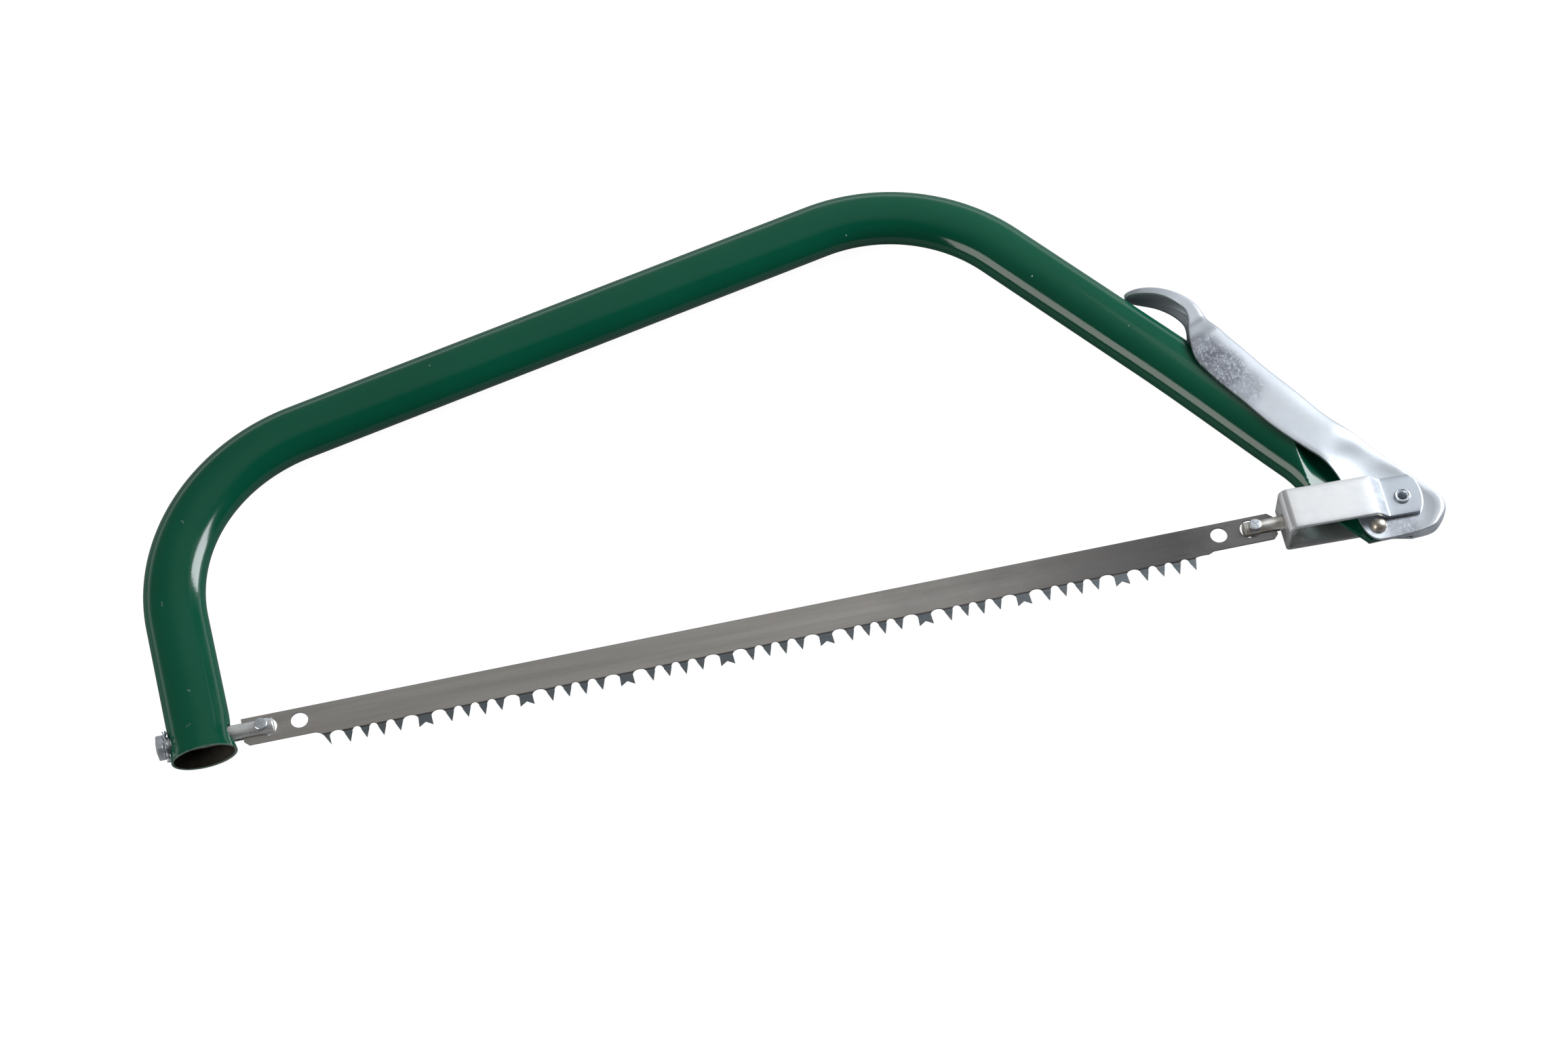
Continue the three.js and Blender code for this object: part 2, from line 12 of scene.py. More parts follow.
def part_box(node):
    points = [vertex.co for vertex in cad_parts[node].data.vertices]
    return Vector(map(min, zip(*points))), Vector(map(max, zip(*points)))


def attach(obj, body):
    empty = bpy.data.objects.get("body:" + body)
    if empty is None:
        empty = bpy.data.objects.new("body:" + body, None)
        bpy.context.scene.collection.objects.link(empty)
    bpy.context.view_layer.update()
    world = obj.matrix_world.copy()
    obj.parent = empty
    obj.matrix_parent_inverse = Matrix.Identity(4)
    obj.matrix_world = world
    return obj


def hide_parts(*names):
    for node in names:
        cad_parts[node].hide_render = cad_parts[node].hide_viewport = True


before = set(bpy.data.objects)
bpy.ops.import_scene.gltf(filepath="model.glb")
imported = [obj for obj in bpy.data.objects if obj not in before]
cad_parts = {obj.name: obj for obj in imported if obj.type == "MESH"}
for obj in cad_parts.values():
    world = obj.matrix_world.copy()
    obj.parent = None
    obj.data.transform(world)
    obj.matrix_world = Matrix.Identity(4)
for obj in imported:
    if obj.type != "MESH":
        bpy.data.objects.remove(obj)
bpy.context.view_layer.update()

# ---------------- sizes, in millimetres
# The saw's own axes: x runs along the blade from the rear cross pin, y towards the bow,
# and z out of the saw from the blade's middle plane.
MM = 0.001

# The tube's centre line is straight between these points, apart from a bend at each corner.
TUBE_END = (-30.9, -10.1)
TUBE_REAR_CORNER = (-39.8, 157.6)
TUBE_FRONT_CORNER = (406.0, 256.6)
TUBE_NOSE = (613.2, -18.1)
REAR_BEND = 101.0
FRONT_BEND = 95.5
TUBE_HALF_WIDTH = 16.5
TUBE_HALF_DEPTH = 10.8
TUBE_WALL = 1.4
FLARE_LENGTH = 9.0
FLARE_SIZE = 0.8
NOSE_HALF_WIDTH = 20.2
NOSE_HALF_DEPTH = 1.3
NOSE_SHIFT = -3.8
ROD_HOLE = 5.1
ROD_TAIL_HOLE = 4.6

# The die that flattened the nose left a slope, which widens downwards from its top corner,
# and a hollow from there to the flat.
PRESS_START = 563.5
PRESS_END = 583.0
PRESS_TOP = 37.0
PRESS_TOP_DEPTH = 10.0
PRESS_FALL = 0.16
PRESS_SLOPE = 0.45
PRESS_WIDTH = 4.4
PRESS_LENGTH = 20.0

LEVER_PIVOT = (593.0, -15.4)
STRAP_PIVOT = (609.9, -1.8)
RIVET_HOLE = 3.2

BLADE_SPAN = 530.0
BLADE_TOP = 7.2
BLADE_BOTTOM = -8.7
BLADE_REAR = -10.0
BLADE_FRONT = 541.0
BLADE_HALF = 0.45
PIN_HOLE = 5.45
PIN_HOLE_IN = 2.5
SPARE_HOLE = 4.5
SPARE_HOLE_IN = 19.6
TOOTH_TIP = -17.8
GULLET_TOP = -9.8
FLANK = -12.6
RAKER_PITCH = 52.9
FIRST_RAKER = 83.2
RAKERS = 8
PEG_OFFSETS = (13.3, 22.1, 30.8, 39.6)
TOOTH_SET = 0.55

LEVER_SHEET = 1.8
LEVER_NOSE = (604.0, -6.1)
LEVER_NOSE_REACH = 18.0
LEVER_NOSE_DEPTH = 3.4
LEVER_FLARE = 29.0
LEVER_DEPTH = 13.05
LEVER_SPINE_DEPTH = 10.4
HOOK_DEPTH = 7.9

STRAP_X = 545.5
STRAP_ANGLE = math.radians(-1.8)
STRAP_SHEET = 2.2
STRAP_LOW = -10.9
STRAP_HIGH = 13.1
STRAP_DEPTH = 11.4
EAR_DEPTH = 5.9
EAR_START = 58.0

low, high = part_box("rear_cross_pin")
ORIGIN = np.array((low + high) / 2)


# ---------------- mesh helpers
def smoothstep(low, high, value):
    t = np.clip((np.asarray(value, float) - low) / (high - low), 0, 1)
    return t * t * (3 - 2 * t)


def mix(a, b, t):
    return a + (b - a) * t


def smooth_min(a, b, width):
    """The lower of a and b, rounded where they cross."""
    h = np.clip(0.5 + 0.5 * (b - a) / width, 0, 1)
    return b + (a - b) * h - width * h * (1 - h)


def build(name, points, faces, angle=35.0):
    """A closed mesh from points in the saw's axes, smooth except at edges sharper than angle."""
    mesh = bpy.data.meshes.new(name)
    world = np.asarray(points, float) * MM + ORIGIN
    mesh.from_pydata([tuple(p) for p in world], [], [tuple(f) for f in faces])
    mesh.validate()
    obj = bpy.data.objects.new(name, mesh)
    bpy.context.scene.collection.objects.link(obj)
    face_outward(obj)
    shade(obj, angle)
    return obj


def face_outward(obj):
    """Turns a closed mesh's faces outward."""
    work = bmesh.new()
    work.from_mesh(obj.data)
    bmesh.ops.recalc_face_normals(work, faces=work.faces)
    if work.calc_volume(signed=True) < 0:
        bmesh.ops.reverse_faces(work, faces=work.faces)
    work.to_mesh(obj.data)
    work.free()
    obj.data.update()


def shade(obj, angle=35.0):
    """Smooth shading, with a hard edge wherever two faces meet at more than angle."""
    mesh = obj.data
    mesh.polygons.foreach_set("use_smooth", [True] * len(mesh.polygons))
    mesh.set_sharp_from_angle(angle=math.radians(angle))
    mesh.update()


def rings_to_mesh(name, rings, angle=35.0, loop=False):
    """Skins a row of closed rings of equal length; the end rings are capped unless loop is set."""
    rings = np.asarray(rings, float)
    count, size = rings.shape[:2]
    faces = []
    for i in range(count if loop else count - 1):
        j = (i + 1) % count
        for k in range(size):
            m = (k + 1) % size
            faces.append((i * size + k, i * size + m, j * size + m, j * size + k))
    if not loop:
        faces.append(tuple(range(size - 1, -1, -1)))
        faces.append(tuple((count - 1) * size + k for k in range(size)))
    return build(name, rings.reshape(-1, 3), faces, angle)


def lathe(name, profile, centre, axis="z"):
    """Turns a profile of (radius, height) about an axis through centre; radius 0 closes an end."""
    steps = 64
    profile = np.asarray(profile, float)
    closed = profile[0][0] > 0
    body = profile if closed else profile[1:-1]
    turn = np.linspace(0, 2 * math.pi, steps, endpoint=False)
    rings = []
    for radius, height in body:
        a, b = radius * np.cos(turn), radius * np.sin(turn)
        h = np.full(steps, height)
        rings.append(np.stack([a, b, h] if axis == "z" else [h, a, b], 1))
    rings = np.array(rings) + np.array(centre, float)
    if closed:
        return rings_to_mesh(name, rings, loop=True)
    points = rings.reshape(-1, 3).tolist()
    faces = []
    for i in range(len(body) - 1):
        for k in range(steps):
            m = (k + 1) % steps
            faces.append((i * steps + k, i * steps + m, (i + 1) * steps + m, (i + 1) * steps + k))
    for end, start in ((0, 0), (-1, (len(body) - 1) * steps)):
        height = profile[end][1]
        tip = np.array([0, 0, height] if axis == "z" else [height, 0, 0]) + np.array(centre, float)
        points.append(tip.tolist())
        hub = len(points) - 1
        for k in range(steps):
            m = (k + 1) % steps
            faces.append((hub, start + k, start + m))
    return build(name, points, faces)


def plate(name, outline, holes, half, place, extra=(), angle=35.0):
    """A flat plate with holes, half thick to each side of z = 0; place moves its points."""
    loops = [list(outline)] + [list(h) for h in holes]
    verts, edges = [], []
    for loop in loops:
        first = len(verts)
        verts += [Vector((p[0], p[1])) for p in loop]
        edges += [(first + i, first + (i + 1) % len(loop)) for i in range(len(loop))]
    verts += [Vector((p[0], p[1])) for p in extra]
    out, _, tris, *_ = delaunay_2d_cdt(verts, edges, [], 0, 1e-6)
    keep = [t for t in tris if inside(out, t, loops)]
    count = len(out)
    flat = np.array([(v.x, v.y) for v in out])
    top = np.column_stack([flat, np.full(count, half)])
    bottom = np.column_stack([flat, np.full(count, -half)])
    faces = [tuple(t) for t in keep] + [tuple(i + count for i in reversed(t)) for t in keep]
    sides = [(t[i], t[(i + 1) % 3]) for t in keep for i in range(3)]
    known = set(sides)
    faces += [(b, a, a + count, b + count) for a, b in sides if (b, a) not in known]
    return build(name, np.concatenate([place(top), place(bottom)]), faces, angle)


def inside(points, triangle, loops):
    """Whether a triangle's middle is on the plate and not in a hole."""
    x = sum(points[i][0] for i in triangle) / 3
    y = sum(points[i][1] for i in triangle) / 3
    hits = [crossings(x, y, loop) % 2 == 1 for loop in loops]
    return hits[0] and not any(hits[1:])


def crossings(x, y, loop):
    """How many sides of the loop lie straight to the right of a point."""
    total = 0
    for i, (ax, ay) in enumerate(loop):
        bx, by = loop[(i + 1) % len(loop)]
        if (ay > y) != (by > y) and x < (bx - ax) * (y - ay) / (by - ay) + ax:
            total += 1
    return total


def circle(centre, radius, steps=48):
    turn = np.linspace(0, 2 * math.pi, steps, endpoint=False)
    return [(centre[0] + radius * math.cos(a), centre[1] + radius * math.sin(a)) for a in turn]


def prism(outline, bottom, top):
    """A cutting block with a plan outline."""
    rings = [[(p[0], p[1], z) for p in outline] for z in (bottom, top)]
    return rings_to_mesh("cutter", rings)


def rod_x(radius, start, end):
    """A cutting rod along the blade's line."""
    rings = [[(x, a, b) for a, b in circle((0, 0), radius)] for x in (start, end)]
    return rings_to_mesh("cutter", rings)


def rod_z(centre, radius, bottom=-20, top=20):
    """A cutting rod across the saw."""
    return prism(circle(centre, radius), bottom, top)


def cut(obj, cutters, operation="DIFFERENCE", angle=35.0):
    """Cuts each block out of obj and leaves one plain mesh."""
    for cutter in cutters:
        step = obj.modifiers.new("cut", "BOOLEAN")
        step.operation = operation
        step.solver = "EXACT"
        step.object = cutter
    bake(obj)
    for cutter in cutters:
        bpy.data.objects.remove(cutter)
    shade(obj, angle)
    return obj


def bake(obj):
    """Turns the modifiers' result into obj's own mesh."""
    bpy.context.view_layer.update()
    graph = bpy.context.evaluated_depsgraph_get()
    mesh = bpy.data.meshes.new_from_object(obj.evaluated_get(graph))
    obj.modifiers.clear()
    old = obj.data
    obj.data = mesh
    bpy.data.meshes.remove(old)


def bevel(obj, width):
    """Breaks every sharp edge of obj with a small round."""
    step = obj.modifiers.new("bevel", "BEVEL")
    step.width = width * MM
    step.segments = 2
    step.limit_method = "ANGLE"
    step.angle_limit = math.radians(35)
    step.use_clamp_overlap = True
    bake(obj)
    shade(obj)
    return obj


def arc(centre, radius, start, end, steps):
    turn = np.radians(np.linspace(start, end, steps + 1))
    return [(centre[0] + radius * math.cos(a), centre[1] + radius * math.sin(a)) for a in turn]


# ---------------- frame tube
def fillet(before, corner, after, radius, step):
    """Points and directions along the arc that rounds a corner."""
    before, corner, after = (np.array(p, float) for p in (before, corner, after))
    d1 = (corner - before) / np.linalg.norm(corner - before)
    d2 = (after - corner) / np.linalg.norm(after - corner)
    turn = math.acos(float(d1 @ d2))
    reach = radius * math.tan(turn / 2)
    sign = math.copysign(1, d1[0] * d2[1] - d1[1] * d2[0])
    start = corner - d1 * reach
    centre = start + sign * radius * np.array([-d1[1], d1[0]])
    steps = max(4, int(radius * turn / step))
    points, directions = [], []
    for i in range(steps + 1):
        a = sign * turn * i / steps
        c, s = math.cos(a), math.sin(a)
        spoke = start - centre
        points.append(centre + np.array([c * spoke[0] - s * spoke[1], s * spoke[0] + c * spoke[1]]))
        directions.append(np.array([c * d1[0] - s * d1[1], s * d1[0] + c * d1[1]]))
    return points, directions


def straight(start, end, step):
    start, end = np.array(start, float), np.array(end, float)
    length = np.linalg.norm(end - start)
    direction = (end - start) / length
    count = max(1, int(length / step))
    return [start + direction * length * i / count for i in range(count)], [direction] * count


def tube_line(nose_reach):
    """Centre line of the tube from its open end to nose_reach before the lever pivot."""
    rear = fillet(TUBE_END, TUBE_REAR_CORNER, TUBE_FRONT_CORNER, REAR_BEND, 3.5)
    front = fillet(TUBE_REAR_CORNER, TUBE_FRONT_CORNER, TUBE_NOSE, FRONT_BEND, 3.5)
    bend_end = front[0][-1]
    nose = (np.array(TUBE_NOSE) - bend_end) / np.linalg.norm(np.array(TUBE_NOSE) - bend_end)
    to_pivot = float((np.array(LEVER_PIVOT) - bend_end) @ nose)
    press = bend_end + nose * (to_pivot - 66)
    end = bend_end + nose * (to_pivot - nose_reach)
    flare_end = np.array(TUBE_END) + 0.06 * (rear[0][0] - TUBE_END)
    pieces = [
        straight(TUBE_END, flare_end, 1.0),
        straight(flare_end, rear[0][0], 4.0),
        rear,
        straight(rear[0][-1], front[0][0], 8.0),
        front,
        straight(bend_end, press, 6.0),
        straight(press, end, 0.8),
    ]
    points = [p for piece in pieces for p in piece[0]] + [end]
    directions = [d for piece in pieces for d in piece[1]] + [nose]
    keep = distinct(points, 0.05)
    return np.array(points)[keep], np.array(directions)[keep], nose


def distinct(points, gap):
    """The positions in a list of the points that aren't on top of the one before."""
    apart = [i for i in range(1, len(points)) if np.linalg.norm(points[i] - points[i - 1]) > gap]
    return [0] + apart


def tube_rings(points, directions, nose, inset):
    """Oval sections; the top and bottom drop to a thin flat beyond the die's edge."""
    turn = np.linspace(0, 2 * math.pi, 96, endpoint=False)
    rings = []
    for point, direction in zip(points, directions):
        along = float((np.array(LEVER_PIVOT) - point) @ nose)
        # The section widens in two stages: gently along the leg, then quickly at the nose.
        spread = mix(1 - smoothstep(27, 60, along), 1 - smoothstep(45, 160, along), 0.35)
        from_end = np.linalg.norm(point - np.array(TUBE_END))
        flare = FLARE_SIZE * (1 - smoothstep(0, FLARE_LENGTH, from_end))
        half_width = mix(TUBE_HALF_WIDTH, NOSE_HALF_WIDTH, spread) + flare - inset
        half_depth = TUBE_HALF_DEPTH + flare - inset
        side = np.array([-direction[1], direction[0]])
        across = np.cos(turn) * half_width + NOSE_SHIFT * spread
        flat = point + np.outer(across, side)
        depth = np.abs(np.sin(turn)) * half_depth
        if along <= 120:
            depth = pressed_depth(flat[:, 0], flat[:, 1], depth, inset)
        rings.append(np.column_stack([flat, np.sign(np.sin(turn)) * np.maximum(depth, 0)]))
    return np.array(rings)


def pressed_depth(x, y, round_depth, inset):
    """Half depth where the die has pressed the tube: a flat slope, then a hollow down to the flat."""
    below_top = PRESS_TOP - y
    slope_width = PRESS_WIDTH * np.clip(below_top / PRESS_LENGTH, 0, 1)
    crest = PRESS_TOP_DEPTH - inset - PRESS_FALL * below_top
    slope = crest - PRESS_SLOPE * np.minimum(x - PRESS_START, slope_width)
    t = np.clip((PRESS_END - x) / (PRESS_END - PRESS_START - slope_width), 0, 1)
    hollow = crest + inset - NOSE_HALF_DEPTH - PRESS_SLOPE * slope_width
    pressed = smooth_min(round_depth, slope - hollow * (1 - t**1.7), 0.1)
    flat = np.minimum(round_depth, max(NOSE_HALF_DEPTH - inset, 0.2))
    return np.minimum(round_depth, -smooth_min(-pressed, -flat, 0.3))


def dent(points):
    """The tube's wall is drawn in a little round the rod's hole on the throat side."""
    points = points.copy()
    from_rod = np.hypot(points[:, 1], points[:, 2])
    pull = 1.1 * np.exp(-((from_rod / 6.5) ** 2)) * (points[:, 0] > -31)
    points[:, 0] -= pull
    return points


def make_tube():
    outer = tube_rings(*tube_line(-24), 0)
    points, directions, nose = tube_line(40)
    inner = tube_rings(points, directions, nose, TUBE_WALL)
    lip = []
    for inset in (0.25, 0.6, 1.0):
        ring = tube_rings(points[:1], directions[:1], nose, inset)[0]
        bulge = 0.35 * math.sin(math.pi * inset / TUBE_WALL)
        ring[:, :2] -= directions[0] * bulge
        lip.append(ring)
    rings = np.concatenate([outer[::-1], np.array(lip), inner])
    shape = rings.shape
    rings = dent(rings.reshape(-1, 3)).reshape(shape)
    tube = rings_to_mesh("tube", rings, 40)
    trim = [(560, -21.6), (LEVER_PIVOT[0] + 6, -21.6)]
    trim += arc(LEVER_PIVOT, 14, -26, 62, 24)
    trim += [(584, 26), (596, 44), (680, 20), (680, -80), (560, -80)]
    cutters = [
        prism(trim, -20, 20),
        rod_x(ROD_HOLE, -31, 0),
        rod_x(ROD_TAIL_HOLE, -61, -30.9),
        rod_z(LEVER_PIVOT, RIVET_HOLE),
    ]
    cut(tube, cutters, angle=40)
    mark_inside(tube, points)
    return tube


def mark_inside(tube, line):
    """Marks the bare wall inside the tube, whose faces look towards the centre line."""
    mesh = tube.data
    size = len(mesh.vertices)
    place, normal = np.empty(size * 3), np.empty(size * 3)
    mesh.vertices.foreach_get("co", place)
    mesh.vertices.foreach_get("normal", normal)
    place = (place.reshape(-1, 3) - ORIGIN) / MM
    normal = normal.reshape(-1, 3)
    away = np.hypot(place[:, None, 0] - line[None, :, 0], place[:, None, 1] - line[None, :, 1])
    nearest = line[np.argmin(away, axis=1)]
    outward = place - np.column_stack([nearest, np.zeros(size)])
    inside_wall = (np.einsum("ij,ij->i", outward, normal) < 0).astype(float)
    mesh.attributes.new("inside", "FLOAT", "POINT").data.foreach_set("value", inside_wall)


# ---------------- blade
def gullet(start, end, flank, steps):
    """A rounded gullet from one flank to the next: half an ellipse."""
    middle, half = (start + end) / 2, (end - start) / 2
    turn = math.pi * (1 - np.arange(steps + 1) / steps)
    return [(middle + half * math.cos(a), flank + (GULLET_TOP - flank) * math.sin(a)) for a in turn]


def toothed_edge():
    """Half a raker, then groups of four pegs between swallow-tailed rakers."""
    points = [(26.5, BLADE_BOTTOM), (28.9, -9.6), (30.6, -11.2)]
    tip = FIRST_RAKER - RAKER_PITCH + 3.7
    points.append((tip, TOOTH_TIP))
    flank = tip - 0.4
    for r in range(-1, RAKERS):
        raker = FIRST_RAKER + r * RAKER_PITCH
        for offset in PEG_OFFSETS:
            peg = raker + offset
            points += gullet(flank, peg - 2.26, FLANK, 14)
            points += [(peg - 0.12, TOOTH_TIP), (peg + 0.12, TOOTH_TIP)]
            flank = peg + 1.8
        following = raker + RAKER_PITCH
        if r < RAKERS - 1:
            points += gullet(flank, following - 3.45, FLANK, 16)
            points += [(following - 3.7, TOOTH_TIP), (following, TOOTH_TIP + 2.4)]
            points += [(following + 3.7, TOOTH_TIP)]
            flank = following + 3.45
    last = flank + 9
    points += gullet(flank, last, FLANK + 2, 14)[:11]
    points.append((last + 1.5, BLADE_BOTTOM))
    return points


def tooth_number(x):
    """Which tooth along the edge a point belongs to; rakers aren't set."""
    place = (x - FIRST_RAKER + RAKER_PITCH) % RAKER_PITCH
    for i, offset in enumerate(PEG_OFFSETS):
        if abs(place - offset) < 4.5:
            return i
    return -1


def set_teeth(points):
    """Bends the pegs alternately to the front and the back, and thins every tooth to its tip."""
    points = points.copy()
    for p in points:
        if p[1] < GULLET_TOP - 0.2:
            depth = (GULLET_TOP - p[1]) / (GULLET_TOP - TOOTH_TIP)
            number = tooth_number(p[0])
            bend = 0 if number < 0 else (1 if number % 2 else -1)
            thin = 1 - 0.45 * depth if number >= 0 else 1 - 0.2 * depth
            p[2] = p[2] * thin + bend * TOOTH_SET * depth
    return points


def make_blade():
    outline = [(BLADE_REAR, BLADE_TOP), (BLADE_REAR, BLADE_BOTTOM + 2.6)]
    outline += [(BLADE_REAR + 2.6, BLADE_BOTTOM)] + toothed_edge()
    outline += [(BLADE_FRONT - 2.6, BLADE_BOTTOM), (BLADE_FRONT, BLADE_BOTTOM + 2.6)]
    outline += [(BLADE_FRONT, BLADE_TOP - 2.6), (BLADE_FRONT - 2.6, BLADE_TOP)]
    outline = outline[::-1]
    holes = [
        circle((PIN_HOLE_IN, 0), PIN_HOLE),
        circle((SPARE_HOLE_IN, 0), SPARE_HOLE),
        circle((BLADE_SPAN - SPARE_HOLE_IN, 0), SPARE_HOLE),
        circle((BLADE_SPAN - PIN_HOLE_IN, 0), PIN_HOLE),
    ]
    return plate("saw_blade", outline, holes, BLADE_HALF, place=set_teeth, angle=30)


# ---------------- pins, washer and nut
def slotted(obj, start, end, cross_x, cross_radius):
    slot = [(start, -9), (end, -9), (end, 9), (start, 9)]
    return cut(obj, [prism(slot, -0.8, 0.8), rod_z((cross_x, 0), cross_radius, -9, 9)])


def thread(start, end, radius, depth=0.45, pitch=1.25):
    """Profile of a threaded length, from start to end."""
    turns = int((end - start) / pitch)
    profile = []
    for i in range(turns):
        at = start + i * pitch
        profile += [(radius - depth, at), (radius, at + pitch * 0.42), (radius, at + pitch * 0.58)]
    return profile


def make_rear_pin():
    profile = [(0, -54.6), (3.4, -54.6)] + thread(-54.4, -44.4, 4.3)
    profile += [(4.3, -43.9), (4.3, 5.7), (4.1, 6.05), (3.8, 6.2), (0, 6.2)]
    return slotted(lathe("rear_rod", profile, (0, 0, 0), "x"), -14, 9, 0, 3.15)


def make_front_pin():
    profile = [(0, 523.8), (3.4, 523.8), (3.75, 523.95), (3.9, 524.3), (3.9, 553.3), (4.3, 553.6)]
    profile += [(5.6, 553.65), (6.0, 554.0), (6.0, 556.6), (5.6, 557.3), (4.6, 557.6), (0, 557.6)]
    return slotted(lathe("front_rod", profile, (0, 0, 0), "x"), 520, 543, BLADE_SPAN, 3.15)


def make_cross_pin(name, x, half):
    """A riveted pin whose heads carry a shallow struck cross."""
    edge = [(2.6, half), (3.05, half - 0.1), (3.3, half - 0.3), (3.35, half - 0.55), (2.9, half - 0.65)]
    profile = [(0, -half)] + [(r, -z) for r, z in edge] + edge[::-1] + [(0, half)]
    pin = lathe(name, profile, (x, 0, 0), "z")
    grooves = []
    for turn in (25, 118):
        c, s = math.cos(math.radians(turn)), math.sin(math.radians(turn))
        corners = [(-2.2, -0.22), (2.2, -0.22), (2.2, 0.22), (-2.2, 0.22)]
        outline = [(x + c * a - s * b, s * a + c * b) for a, b in corners]
        grooves.append(prism(outline, half - 0.3, half + 1))
    return cut(pin, grooves)


def make_washer():
    """A star washer with twelve teeth, each twisted about its own spoke."""
    teeth, steps = 12, 8
    outline = []
    for i in range(teeth * steps):
        part = i % steps
        radius = 8.2 if part < 4 else 6.3
        slant = 0.25 if part in (0, 4) else 0
        turn = 2 * math.pi * (i + slant) / (teeth * steps)
        outline.append((radius * math.cos(turn), radius * math.sin(turn)))
    ring = circle((0, 0), 6.0, teeth * steps)

    def twist(points):
        radius = np.hypot(points[:, 0], points[:, 1])
        angle = np.arctan2(points[:, 1], points[:, 0]) % (2 * math.pi)
        part = (angle * teeth / (2 * math.pi)) % 1
        lean = np.clip((part - 0.19) / 0.19, -1, 1) * smoothstep(6.0, 8.2, radius) * 0.85
        height = points[:, 2] + lean
        return np.column_stack([-49.3 - height, points[:, 0], points[:, 1]])

    return plate("star_washer", outline, [circle((0, 0), 4.6)], 0.35, place=twist, extra=ring)


def make_nut():
    rings = [[(x, a, b) for a, b in circle((0, 0), 7.4, 6)] for x in (-54.0, -50.2)]
    nut = rings_to_mesh("hex_nut", rings)
    round_off = [(0, -54.0), (6.2, -54.0), (7.5, -53.25), (7.5, -50.95), (6.2, -50.2), (0, -50.2)]
    chamfer = lathe("cutter", round_off, (0, 0, 0), "x")
    cut(nut, [chamfer], "INTERSECT")
    bore = [(0, -55), (5.2, -55), (5.2, -53.9), (4.45, -53.3), (4.45, -50.9), (5.2, -50.3), (5.2, -49)]
    cut(nut, [lathe("cutter", bore + [(0, -49)], (0, 0, 0), "x")])
    return bevel(nut, 0.12)


# ---------------- stirrup
def strap_path():
    """Outer face of the folded strap, from the front ear to the back one: half length and depth."""
    front, back = strap_half(4.6), strap_half(2.6)
    return front + [(0, 0)] + [(x, -z) for x, z in back[::-1]]


def strap_half(bend):
    """The strap from an ear, up the joggle and round the bend to the middle of the end wall."""
    low_corner, high_corner = (54.8, EAR_DEPTH), (48.5, STRAP_DEPTH)
    half = [(EAR_START, EAR_DEPTH)]
    half += round_corner((EAR_START, EAR_DEPTH), low_corner, high_corner)
    half += round_corner(low_corner, high_corner, (40, STRAP_DEPTH))
    half += [(x, STRAP_DEPTH) for x in np.linspace(42, 8, 8)]
    half += arc((bend, STRAP_DEPTH - bend), bend, 90, 158, 8)
    return half + [(0, STRAP_DEPTH - bend * 0.76), (0, 4.0), (0, 2.0)]


def round_corner(before, corner, after, radius=1.7):
    points, _ = fillet(before, corner, after, radius, radius / 6)
    return [tuple(p) for p in points]


def strap_section(corner=0.55):
    """Section of the strap's sheet, as heights and depths below its outer face, with round edges."""
    low, high, mid, sheet = STRAP_LOW, STRAP_HIGH, -STRAP_SHEET / 2, -STRAP_SHEET
    flat = np.linspace(low + corner, high - corner, 9)
    turn = np.radians(np.linspace(0, 90, 4))
    sin, cos = corner * np.sin(turn), corner * np.cos(turn)
    section = [(y, 0.0) for y in flat]
    section += [(high - corner + s, c - corner) for s, c in zip(sin[1:], cos[1:])]
    section += [(high, mid)]
    section += [(high - corner + c, sheet + corner - s) for s, c in zip(sin, cos)]
    section += [(y, sheet) for y in flat[::-1][1:]]
    section += [(low + corner - s, sheet + corner - c) for s, c in zip(sin[1:], cos[1:])]
    section += [(low, mid)]
    section += [(low + corner - c, s - corner) for s, c in zip(sin[:-1], cos[:-1])]
    return np.array(section)


def ear_ring(section, share, squeeze, side):
    """The section at a share of the ear's reach, squeezed thinner towards its end."""
    height = section[:, 0]
    reach = 51.3 + np.sqrt(np.maximum(24**2 - (height - 1.1) ** 2, 0))
    reach -= 1.4 * smoothstep(10.2, STRAP_HIGH, height) + 0.8 * smoothstep(-9.6, STRAP_LOW, height)
    depth = (section[:, 1] + STRAP_SHEET / 2) * squeeze - STRAP_SHEET / 2
    return np.column_stack([mix(EAR_START, reach, share), height, side * (EAR_DEPTH + depth)])


def make_stirrup():
    section = strap_section()
    path = np.array(strap_path())
    path = path[distinct(path, 0.02)]
    tangent = np.gradient(path, axis=0)
    tangent /= np.linalg.norm(tangent, axis=1)[:, None]
    outward = np.column_stack([tangent[:, 1], -tangent[:, 0]])
    rings = []
    for point, out in zip(path, outward):
        at = point + np.outer(section[:, 1], out)
        rings.append(np.column_stack([at[:, 0], section[:, 0], at[:, 1]]))
    steps = [(0.2, 1), (0.4, 1), (0.6, 1), (0.8, 1), (0.93, 1), (0.955, 1)]
    steps += [(0.985, 0.93), (0.996, 0.75), (1, 0.5)]
    front = [ear_ring(section, share, squeeze, 1) for share, squeeze in steps[::-1]]
    back = [ear_ring(section, share, squeeze, -1) for share, squeeze in steps]
    rings = np.array(front + rings + back)
    x, y = rings[:, :, 0] + STRAP_X - STRAP_PIVOT[0], rings[:, :, 1].copy()
    c, s = math.cos(STRAP_ANGLE), math.sin(STRAP_ANGLE)
    rings[:, :, 0] = STRAP_PIVOT[0] + c * x - s * y
    rings[:, :, 1] = STRAP_PIVOT[1] + s * x + c * y
    strap = rings_to_mesh("stirrup_strap", rings, 24)
    holes = [rod_x(4.8, STRAP_X - 6, STRAP_X + 12), rod_z(STRAP_PIVOT, RIVET_HOLE)]
    return cut(strap, holes, angle=24)


